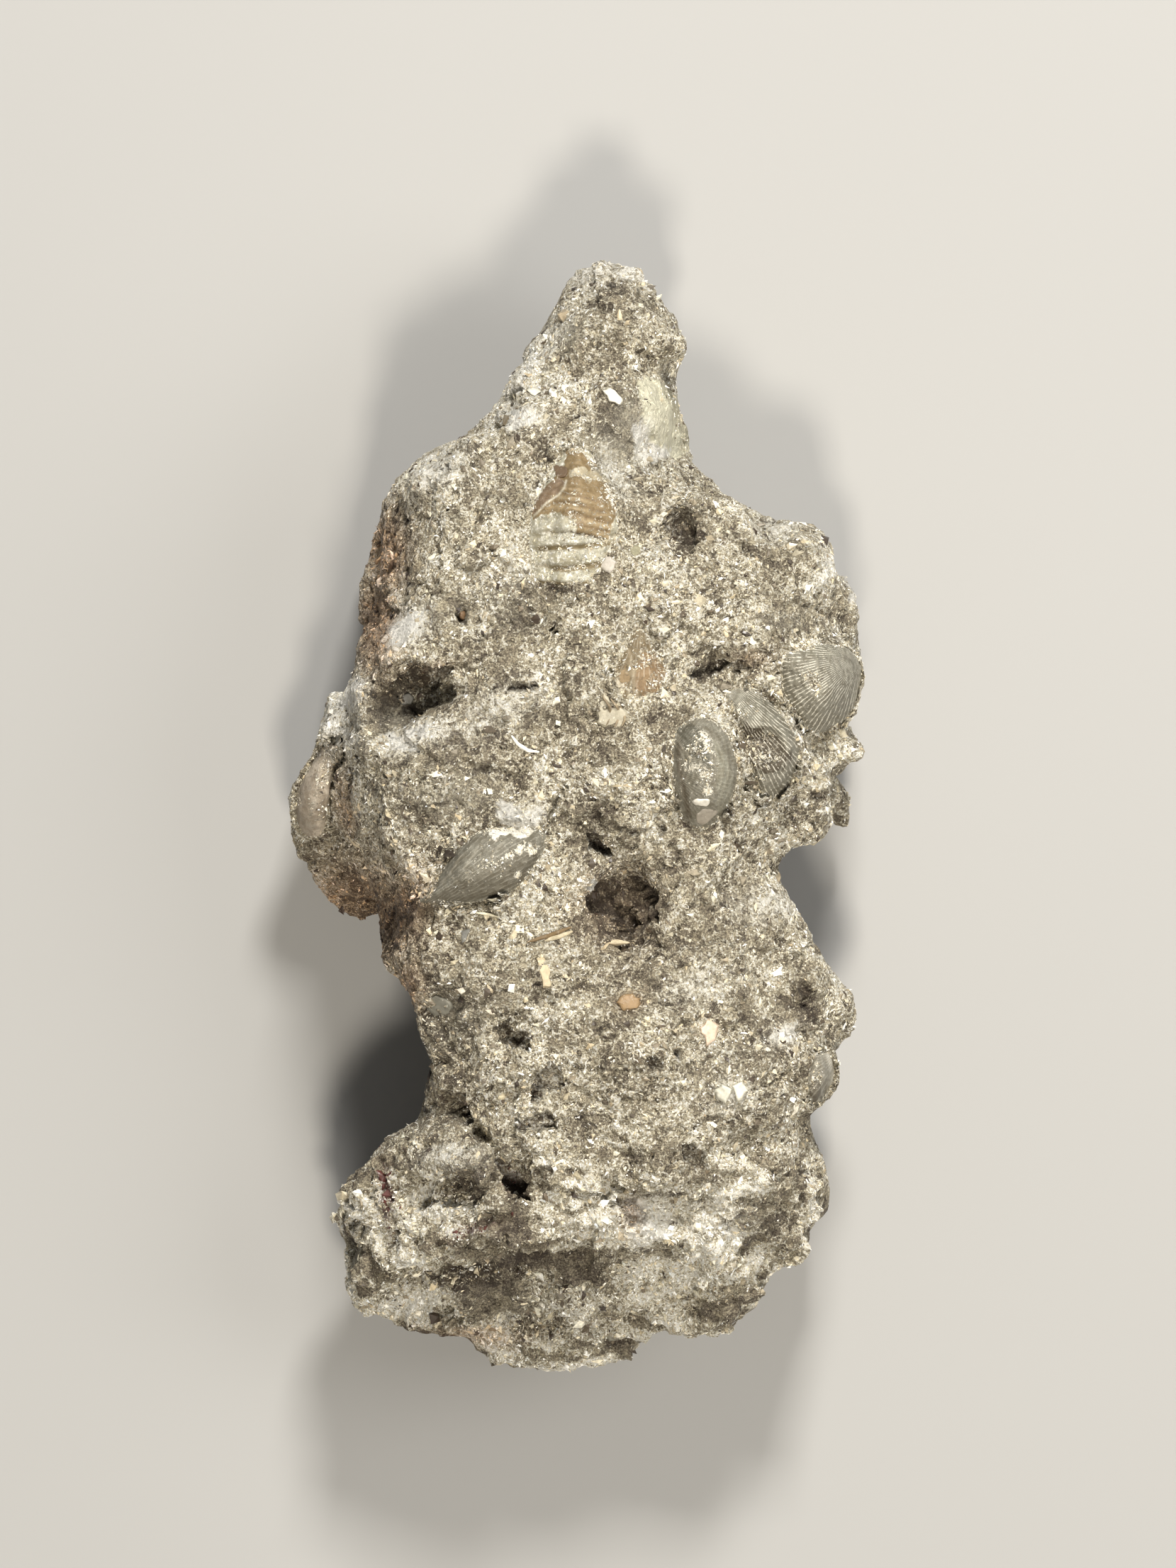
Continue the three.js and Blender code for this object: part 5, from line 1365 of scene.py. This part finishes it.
def shield_coats(look):
    """The tail shield's coats of colour, in the order in which they are laid on."""
    return [
        ("area", look.brown, BROWN_SHELL, BROWN_RAGGED, 1.0),
        ("area", (0.25, 0.18, 0.125), LEFT_LOBE, 0.12, 0.8),
        *(("line", look.gold, line, width, 0.85) for line, width in GOLD_STRIPES),
        *(("line", (0.19, 0.125, 0.065), line, width, 0.6) for line, width in DARK_RINGS),
        ("area", (0.58, 0.53, 0.40), CAP_GAP, 0.3, 0.7),
        ("area", look.grey, GREY_GAP, 0.15, 0.8),
        ("line", (0.74, 0.70, 0.58), AXIS_LINE, 0.09, 0.9),
        ("line", (0.05, 0.03, 0.015), SHIELD_CRACK, 0.09, 0.95),
    ]


class FOSSIL_OT_tail_shield(bpy.types.Operator):
    """Makes the trilobite's ribbed tail shield"""

    bl_idname = "fossil.tail_shield"
    bl_label = "Tail shield"

    def execute(self, context):
        look = context.scene.fossil_shells
        material = shield_material(look)
        node = "trilobite_tail_shield"
        coats = shield_coats(look)
        piece = dress_shell(node, SHIELD_STEP, look.worn, coats, material, "tail_shield", rock_surface())
        mesh = piece.data
        points = coordinates(mesh)
        brown = inside(points, BROWN_SHELL, BROWN_RAGGED)
        furrow = np.zeros(len(points))
        for line, width, strength in FURROWS:
            furrow = np.maximum(furrow, strength * near_line(points, line, width))
        add_values(mesh, "brown", brown)
        add_values(mesh, "furrow", furrow)
        lumps = 0.17 * soft_noise(points, 0.95, 93) + 0.06 * soft_noise(points, 0.4, 94)
        rise = np.where(brown > 0, 0.02, lumps) - 0.22 * furrow
        for line, width in GOLD_STRIPES:
            rise += 0.05 * brown * near_line(points, line, width)
        for line, width in DARK_RINGS:
            rise -= 0.05 * brown * near_line(points, line, width)
        rise -= 0.2 * near_line(points, SHIELD_CRACK, 0.12)
        upper = ease(normals(mesh)[:, 2], 0.2, 0.7)
        points[:, 2] += rise * upper
        set_coordinates(mesh, points)
        return {"FINISHED"}


class FOSSIL_OT_fragments(bpy.types.Operator):
    """Makes the amber fragment and the two smooth shells"""

    bl_idname = "fossil.fragments"
    bl_label = "Fragments"

    def execute(self, context):
        look = context.scene.fossil_shells
        ground = rock_surface()
        for node, (name, *pattern, step, slot, tint) in FRAGMENTS.items():
            material = shell_material(name, look, *pattern)
            dress_shell(node, step, getattr(look, tint), COATS[node], material, slot, ground)
        return {"FINISHED"}


# Small fossils and chips

# Caps, as (slot, colour, rim in photo pixels, rise in millimetres, flatness, sharp rim)
CAPS = {
    "white chip of the spire": (
        "pale_shell", (0.72, 0.69, 0.58), [(848, 551), (862, 548), (880, 566), (876, 574), (858, 566)],
        0.35, 1.0, True),
    "white spot of the spire": (
        "pale_shell", (0.72, 0.69, 0.58), [(742, 549), (752, 546), (765, 555), (758, 561), (746, 557)],
        0.3, 0.6, True),
    "ringed shell": (
        "pale_shell", (0.44, 0.40, 0.30),
        [(842, 1004), (844, 986), (853, 979), (864, 985), (877, 996), (886, 1010), (886, 1022),
         (870, 1028), (854, 1025), (842, 1021)],
        0.12, 0.8, True),
    "grey chip of the waist": (
        "grey_shell", (0.22, 0.21, 0.17),
        [(595, 1412), (612, 1403), (640, 1411), (637, 1430), (612, 1435)],
        0.3, 1.0, True),
    "grey lozenge": (
        "grey_shell", (0.15, 0.145, 0.125),
        [(649, 1322), (652, 1311), (664, 1307), (662, 1320), (651, 1331)],
        0.18, 1.0, True),
    "brown fragment": (
        "amber_shell", (0.30, 0.20, 0.10),
        [(868, 1412), (878, 1402), (893, 1400), (906, 1408), (900, 1422), (880, 1427)],
        0.35, 0.5, True),
    "pinkish crystal": (
        "pale_shell", (0.74, 0.58, 0.44),
        [(987, 1449), (998, 1436), (1014, 1443), (1011, 1468), (995, 1476)],
        0.4, 0.8, True),
    "crystal, left": (
        "pale_shell", (0.62, 0.60, 0.50), [(1004, 1540), (1018, 1526), (1034, 1536), (1022, 1556)],
        0.5, 1.0, True),
    "crystal, right": (
        "pale_shell", (0.70, 0.67, 0.55), [(1032, 1530), (1048, 1523), (1056, 1538), (1040, 1552)],
        0.5, 1.0, True),
    "brown bead": (
        "amber_shell", (0.15, 0.09, 0.045), [(648, 863), (656, 862), (658, 871), (652, 878), (647, 871)],
        0.35, 0.2, False),
    # A pale cap that paints the highlight on the centre shell
    "painted highlight on the centre shell": (
        "pale_shell", (0.80, 0.76, 0.66),
        [(973, 1133), (980, 1126), (990, 1128), (999, 1126), (1002, 1134), (992, 1140), (982, 1137)],
        0.2, 0.3, False),
    "striped end of the centre shell": (
        "pale_shell", (0.36, 0.32, 0.26),
        [(976, 1145), (1000, 1138), (1014, 1142), (1004, 1160), (984, 1166)],
        0.25, 0.3, False),
    "dark bit beside the shield": (
        "amber_shell", (0.15, 0.10, 0.06), [(780, 661), (790, 656), (802, 662), (797, 675), (783, 676)],
        0.15, 0.8, True),
    "lump beside the shield": (
        "pale_shell", (0.46, 0.42, 0.36),
        [(848, 794), (853, 787), (862, 786), (869, 793), (868, 803), (860, 810), (851, 808), (846, 801)],
        0.16, 0.8, True),
    "facet of the cup": (
        "grey_shell", (0.10, 0.095, 0.08), [(559, 983), (578, 976), (586, 984), (581, 996), (565, 996)],
        0.2, 1.0, True),
    "pale plate": (
        "pale_shell", (0.55, 0.46, 0.30), [(757, 1352), (768, 1349), (776, 1368), (777, 1392), (766, 1394)],
        0.2, 1.0, True),
    "bead right of the shield": (
        "grey_shell", (0.28, 0.26, 0.17), [(889, 772), (898, 770), (906, 777), (901, 787), (891, 785)],
        0.2, 0.4, False),
}
# Rods and slivers, as (slot, colour, line in photo pixels, radius, lift in millimetres)
RODS = {
    "outer ring": (
        "amber_shell", (0.24, 0.19, 0.12), [(850, 983), (860, 997), (861, 1012), (855, 1024)], 0.13, 0.14),
    "middle ring": (
        "amber_shell", (0.28, 0.22, 0.14), [(861, 986), (872, 1000), (873, 1013), (867, 1026)], 0.13, 0.14),
    "inner ring": (
        "amber_shell", (0.30, 0.24, 0.15), [(873, 994), (881, 1006), (881, 1016), (877, 1025)], 0.12, 0.14),
    "brown rod": ("amber_shell", (0.17, 0.115, 0.055), [(744, 1328), (775, 1319), (806, 1307)], 0.19, 0.12),
    "pale side of the rod": (
        "pale_shell", (0.50, 0.43, 0.29), [(768, 1326), (790, 1320), (808, 1313)], 0.2, 0.02),
    "white sliver": (
        "pale_shell", (0.88, 0.86, 0.78), [(722, 1038), (731, 1050), (745, 1059), (761, 1061)], 0.17, 0.12),
    "cream edge": ("pale_shell", (0.72, 0.66, 0.48), [(672, 1287), (690, 1289), (704, 1293)], 0.12, 0.1),
}


def loop_through(places, count, sharp):
    """Even points round a closed line through photo pixels, with sharp or rounded corners."""
    corners = np.array([plan_of(px, py) for px, py in places])
    if not sharp:
        for _ in range(3):
            after = np.roll(corners, -1, axis=0)
            corners = np.stack([0.75 * corners + 0.25 * after, 0.25 * corners + 0.75 * after], axis=1)
            corners = corners.reshape(-1, 2)
    closed = np.vstack([corners, corners[:1]])
    travelled = np.append(0, np.cumsum(np.linalg.norm(np.diff(closed, axis=0), axis=1)))
    stops = np.linspace(0, travelled[-1], count, endpoint=False)
    return np.stack([np.interp(stops, travelled, closed[:, axis]) for axis in range(2)], axis=1)


def cap_solid(ground, outline, rise, flatness, sharp):
    """A closed cap that lies on the ground: its points and faces."""
    around, rings = 36, 7
    sunk, depth = 0.18, 0.8
    rim = loop_through(outline, around, sharp)
    level = np.column_stack([rim, np.zeros(around)])
    rim += 0.14 * np.column_stack([soft_noise(level, 0.45, 35), soft_noise(level, 0.45, 36)])
    middle = rim.mean(axis=0)
    shares = np.linspace(1, 0, rings, endpoint=False)
    plan = np.concatenate([middle + share * (rim - middle) for share in shares] + [middle[None]])
    share = np.append(np.repeat(shares, around), 0)
    flat = np.column_stack([rim, np.ones(around)])
    slope = np.linalg.lstsq(flat, ground.heights(rim), rcond=None)[0]
    level = np.column_stack([plan, np.ones(len(plan))]) @ slope
    dome = np.sqrt(1 - share ** (2 + 6 * flatness))
    top = np.column_stack([plan, level - sunk + (rise + sunk) * dome])
    top[:, 2] += 0.06 * soft_noise(top, 0.6, 33) + 0.03 * soft_noise(top, 0.3, 34)
    bottom = top[:around] - (0, 0, depth)
    points = np.concatenate([top, bottom, bottom.mean(axis=0)[None]])
    apex, low, base = rings * around, rings * around + 1, rings * around + 1 + around
    faces = []
    for i in range(around):
        j = (i + 1) % around
        for ring in range(rings - 1):
            a, b = ring * around + i, ring * around + j
            faces += [(a, b, b + around), (a, b + around, a + around)]
        faces += [((rings - 1) * around + i, (rings - 1) * around + j, apex)]
        faces += [(i, low + i, j), (j, low + i, low + j), (low + i, base, low + j)]
    return points, np.array(faces)


def rod_solid(ground, line, radius, lift):
    """A closed rod that tapers at its ends and follows the ground: its points and faces."""
    around, steps = 10, 24
    places = np.array([plan_of(px, py) for px, py in line])
    travelled = np.append(0, np.cumsum(np.linalg.norm(np.diff(places, axis=0), axis=1)))
    stops = np.linspace(0, travelled[-1], steps)
    path = np.stack([np.interp(stops, travelled, places[:, axis]) for axis in range(2)], axis=1)
    level = ground.heights(path)
    level = np.convolve(np.pad(level, 2, mode="edge"), np.ones(5) / 5, mode="valid") + lift
    along = unit(np.gradient(path, axis=0))
    side = np.stack([-along[:, 1], along[:, 0]], axis=1)
    thick = radius * np.sqrt(np.sin(np.linspace(0.12, math.pi - 0.12, steps)))
    points = []
    for turn in np.linspace(0, math.tau, around, endpoint=False):
        ring = path + side * (thick * math.cos(turn))[:, None]
        points.append(np.column_stack([ring, level + thick * math.sin(turn)]))
    points = np.stack(points, axis=1).reshape(-1, 3)
    ends = np.column_stack([path[[0, -1]], level[[0, -1]]])
    faces = []
    for i in range(around):
        j = (i + 1) % around
        for step in range(steps - 1):
            a, b = step * around + i, step * around + j
            faces += [(a, a + around, b + around), (a, b + around, b)]
        last = (steps - 1) * around
        faces += [(i, j, steps * around), (last + j, last + i, steps * around + 1)]
    return np.concatenate([points, ends]), np.array(faces)


def bit_material():
    """Small chips of shell, each with its own colour."""
    n = Nodes("small chips")
    mottle = n.span(n.noise(0.5, 4, 0.7), 0.3, 0.7, 0.75, 1.12)
    shaded = n.scaled(n.colour("tone"), mottle)
    speck = n.span(n.noise(0.35, 4, 0.75), 0.62, 0.68, 0.0, 0.7)
    colour = n.mix(speck, shaded, (0.82, 0.78, 0.66))
    normal = n.bump(n.noise(0.4, 4, 0.7), 0.08, 0.8)
    return n.finish(Base_Color=colour, Roughness=n.span(mottle, 0.75, 1.1, 0.35, 0.6), Normal=normal)


class FOSSIL_OT_small_fossils(bpy.types.Operator):
    """Makes the small chips, rods and slivers in the rock's face"""

    bl_idname = "fossil.small_fossils"
    bl_label = "Small fossils"

    def execute(self, context):
        ground = Surface([bpy.data.objects["limestone"], *dressed_shells()])
        solids = [(*spec[:2], cap_solid(ground, *spec[2:])) for spec in CAPS.values()]
        solids += [(*spec[:2], rod_solid(ground, *spec[2:])) for spec in RODS.values()]
        material = bit_material()
        for slot in sorted({solid[0] for solid in solids}):
            points, faces, colours = [], [], []
            for _, colour, (corners, triangles) in (solid for solid in solids if solid[0] == slot):
                faces.append(triangles + sum(len(part) for part in points))
                points.append(corners)
                colours.append(np.tile(colour, (len(corners), 1)))
            mesh = mesh_of(slot + "_bits", np.concatenate(points), np.concatenate(faces))
            add_colours(mesh, "tone", np.concatenate(colours))
            mesh.materials.append(material)
            new_piece(slot + "_bits", mesh, slot)
        return {"FINISHED"}


# Loose grain


def grain_material():
    """Crystalline grains, each with its own colour."""
    n = Nodes("grains")
    wisp = n.span(n.noise(0.3, 3, 0.7), 0.35, 0.65, 0.72, 1.12)
    gloss = n.span(n.noise(0.6, 2, 0.5), 0.4, 0.6, 0.3, 0.75)
    return n.finish(Base_Color=n.scaled(n.colour("tone"), wisp), Roughness=gloss)


# The grains' colours: the share of pale ones, the tones of the pale and the dull ones and how much they
# vary, what brown and grey zones multiply them by, how they vary from warm to cool, and the maroon ones
PALE_SHARE = 0.68
PALE_TONE, DULL_TONE, TONE_SPREAD = 0.84, 0.40, 0.25
WARM = np.array((0.92, 0.68, 0.53))
COOL = np.array((0.95, 0.97, 1.03))
WARM_TO_COOL = np.array((1.0, 0.0, -1.4))
MAROON_GRAIN = np.array((0.09, 0.028, 0.022))


def grain_colours(places, rng, shift):
    """A colour for each grain, which follows the rock's patches and zones."""
    count = len(places)
    brown = zone(places, BROWN_AND_REFLECTION_SPOTS)
    grey = zone(places, GREY_SPOTS)
    pale = rng.random(count) < PALE_SHARE
    tone = np.where(pale, PALE_TONE, DULL_TONE) + shift + rng.normal(0, TONE_SPREAD, count)
    # Painted shade darkens the grains in the crisp hollows and dark zones; the pale zones lighten them,
    # partly as painted highlight
    tone += 0.16 * patches(places) - 0.4 * hollowed(places)[1]
    tone += 0.26 * zone(places, PALE_AND_HIGHLIGHT_SPOTS) - 0.55 * zone(places, DARK_AND_SHADE_SPOTS)
    tone = np.clip(tone - 0.16 * brown - 0.1 * grey, 0, 1)
    colours = np.stack([np.interp(tone, TONE_SCALE, TONES[:, n]) for n in range(3)], axis=1)
    # Grains in the brown zones take their warm tint, partly a painted warm reflection
    colours *= 1 - brown[:, None] * (1 - WARM)
    colours *= 1 - 0.8 * grey[:, None] * (1 - COOL)
    tint = rng.normal(0, 0.03, (count, 1)) * WARM_TO_COOL
    maroon = (zone(places, MAROON_SPOTS) > rng.random(count))[:, None]
    colours = np.where(maroon, MAROON_GRAIN, colours * (1 + tint))
    return np.clip(colours, 0, 0.95)


class FOSSIL_OT_grains(bpy.types.Operator):
    """Scatters the crystalline grains on the rock and the crust on the shells"""

    bl_idname = "fossil.grains"
    bl_label = "Grains"

    def execute(self, context):
        look = context.scene.fossil_grains
        material = grain_material()
        rock = bpy.data.objects["limestone"]
        shells = dressed_shells()
        cover = Surface(shells)

        def on_rock(points, outward):
            facing = 0.2 + 0.8 * ease(outward[:, 2], -0.1, 0.45)
            bare = np.maximum(zone(points, SMOOTH_SPOTS), 0.6 * zone(points, GREY_SPOTS))
            patchy = ease(patches(points) + 0.5 * soft_noise(points, 0.55, 27), -0.35, 0.55)
            bare = np.maximum(bare, 0.75 * hollowed(points)[1])
            return facing * (1 - 0.95 * bare) * (0.10 + 0.90 * patchy)

        layers = (
            ("fine_grains", SHARD, look.fine_count, look.fine_size / MM, 0.35, 0.02, 1),
            ("small_grains", SHARD, look.fine_count, 0.72 * look.fine_size / MM, 0.4, 0.08, 2),
            ("chips", CHIP, look.chip_count, look.chip_size / MM, 0.15, -0.2, 3),
        )
        for name, shape, count, size, tumble, shift, seed in layers:
            rng = np.random.default_rng(seed)
            places, outward = random_places(rock.data, count, rng, on_rock)
            open_air = ~cover.covers(places)
            places, outward = places[open_air], outward[open_air]
            sizes = size * np.exp(rng.normal(0, 0.38, len(places)))
            colours = grain_colours(places, rng, shift)
            mesh = grain_mesh(name, shape, places, outward, sizes, colours, rng, tumble)
            mesh.materials.append(material)
            new_piece(name, mesh, "limestone")
        self.crust(look, material, shells)
        return {"FINISHED"}

    def crust(self, look, material, shells):
        """Pale grains on the shells, thickest round their rims."""
        rng = np.random.default_rng(7)
        ground = rock_surface()
        parts = []
        for shell in shells:
            def on_shell(points, outward):
                proud = points[:, 2] - ground.heights(points[:, :2])
                rim = ease(-proud, -0.35, -0.08) * ease(proud, -0.15, 0.0)
                patchy = ease(soft_noise(points, 1.1, 25), -0.2, 0.5)
                spots = ease(zone(points, CRUST_SPOTS), 0.35, 0.9)
                crusty = np.maximum(rim * (0.3 + 0.7 * patchy), 0.6 * spots)
                return crusty * ease(outward[:, 2], 0.0, 0.3) * (proud > -0.15) + 1e-6

            area = shell.dimensions.x * shell.dimensions.y / MM**2
            parts.append(random_places(shell.data, int(look.crust_density * area), rng, on_shell))
        places, outward = (np.concatenate(part) for part in zip(*parts))
        sizes = look.crust_size / MM * np.exp(rng.normal(0, 0.4, len(places)))
        colours = grain_colours(places, rng, 0.05)
        mesh = grain_mesh("crust", SHARD, places, outward, sizes, colours, rng, 0.5)
        mesh.materials.append(material)
        new_piece("crust", mesh, "limestone")


# Studio

FLOOR_REACH = 1.5
SURROUND = (1.0, 0.99, 0.97, 1)
# The lamps, as (place, side in metres, colour, the setting that holds the power), and what they face
LAMPS = {
    "key light": ((0.06, 0.38, 0.40), 0.10, (1.0, 0.97, 0.92), "key_power"),
    "foot light": ((0.03, -0.24, 0.50), 0.08, (1.0, 0.93, 0.82), "foot_power"),
    "right light": ((0.38, 0.05, 0.42), 0.3, (1.0, 0.98, 0.95), "fill_power"),
}
LAMP_AIM = Vector((0, 0, 0.02))
# The photo's size in pixels, and the level at which the camera's framing is that of the photo
PHOTO_SIZE = (1659, 2212)
OUTLINE_LEVEL = 0.017


class FOSSIL_OT_stage(bpy.types.Operator):
    """Makes the floor, the lights and the camera"""

    bl_idname = "fossil.stage"
    bl_label = "Stage"

    def execute(self, context):
        look = context.scene.fossil_studio
        self.floor(look)
        self.lights(context, look)
        self.camera(context, look)
        return {"FINISHED"}

    def floor(self, look):
        """A wide pale floor under the specimen."""
        far = FLOOR_REACH
        mesh = bpy.data.meshes.new("floor")
        mesh.from_pydata([(-far, -far, 0), (far, -far, 0), (far, far, 0), (-far, far, 0)], [], [(0, 1, 2, 3)])
        floor = placed("floor", mesh)
        n = Nodes("pale floor")
        tone = n.mix(n.noise(60.0, 2, 0.5), look.floor, [0.97 * c for c in look.floor])
        mesh.materials.append(n.finish(Base_Color=tone, Roughness=0.85))

    def lights(self, context, look):
        """The lamps, which face the middle of the rock, and an even pale surround."""
        world = bpy.data.worlds.new("surround")
        context.scene.world = world
        world.use_nodes = True
        sky = world.node_tree.nodes["Background"]
        sky.inputs["Color"].default_value = SURROUND
        sky.inputs["Strength"].default_value = look.sky
        for name, (place, side, colour, power) in LAMPS.items():
            data = bpy.data.lights.new(name, "AREA")
            data.size = side
            data.energy = getattr(look, power)
            data.color = colour
            lamp = placed(name, data)
            lamp.location = place
            lamp.rotation_euler = (LAMP_AIM - Vector(place)).to_track_quat("-Z", "Y").to_euler()

    def camera(self, context, look):
        """A camera that looks straight down, with the photo's framing at the outline's level."""
        width, length = PHOTO_SIZE
        long_side = length / PIXELS_PER_MM * MM
        x, y = plan_of(width / 2, length / 2)
        data = bpy.data.cameras.new("camera")
        data.sensor_width = 36.0
        data.lens = data.sensor_width * look.camera_height / long_side
        data.clip_start = 0.1
        camera = placed("camera", data)
        camera.location = (x * MM, y * MM, OUTLINE_LEVEL + look.camera_height)
        context.scene.camera = camera
        context.scene.view_settings.view_transform = "Standard"


class FOSSIL_PT_panel(bpy.types.Panel):
    """Lists the makers of the fossil's pieces"""

    bl_label = "Trilobite fossil"
    bl_idname = "FOSSIL_PT_panel"
    bl_space_type = "VIEW_3D"
    bl_region_type = "UI"
    bl_category = "Fossil"

    def draw(self, context):
        for maker in MAKERS:
            self.layout.operator(maker.bl_idname)
        for group in GROUPS:
            settings = getattr(context.scene, group)
            for name in settings.__annotations__:
                self.layout.prop(settings, name)


MAKERS = (
    FOSSIL_OT_stage,
    FOSSIL_OT_limestone,
    FOSSIL_OT_tail_shield,
    FOSSIL_OT_brachiopods,
    FOSSIL_OT_fragments,
    FOSSIL_OT_small_fossils,
    FOSSIL_OT_grains,
)
GROUPS = {
    "fossil_rock": RockLook,
    "fossil_shells": ShellLook,
    "fossil_grains": GrainLook,
    "fossil_studio": StudioLook,
}


def register():
    """Registers the add-on's classes and puts its settings on the scene."""
    for kind in (*GROUPS.values(), *MAKERS, FOSSIL_PT_panel):
        bpy.utils.register_class(kind)
    for name, group in GROUPS.items():
        setattr(bpy.types.Scene, name, bpy.props.PointerProperty(type=group))


def unregister():
    """Takes the settings and the classes away again."""
    for name in GROUPS:
        delattr(bpy.types.Scene, name)
    for kind in reversed((*GROUPS.values(), *MAKERS, FOSSIL_PT_panel)):
        bpy.utils.unregister_class(kind)


def main():
    """Makes every piece in order."""
    register()
    bpy.ops.fossil.stage()
    bpy.ops.fossil.limestone()
    bpy.ops.fossil.tail_shield()
    bpy.ops.fossil.brachiopods()
    bpy.ops.fossil.fragments()
    bpy.ops.fossil.small_fossils()
    bpy.ops.fossil.grains()


if __name__ == "__main__":
    main()
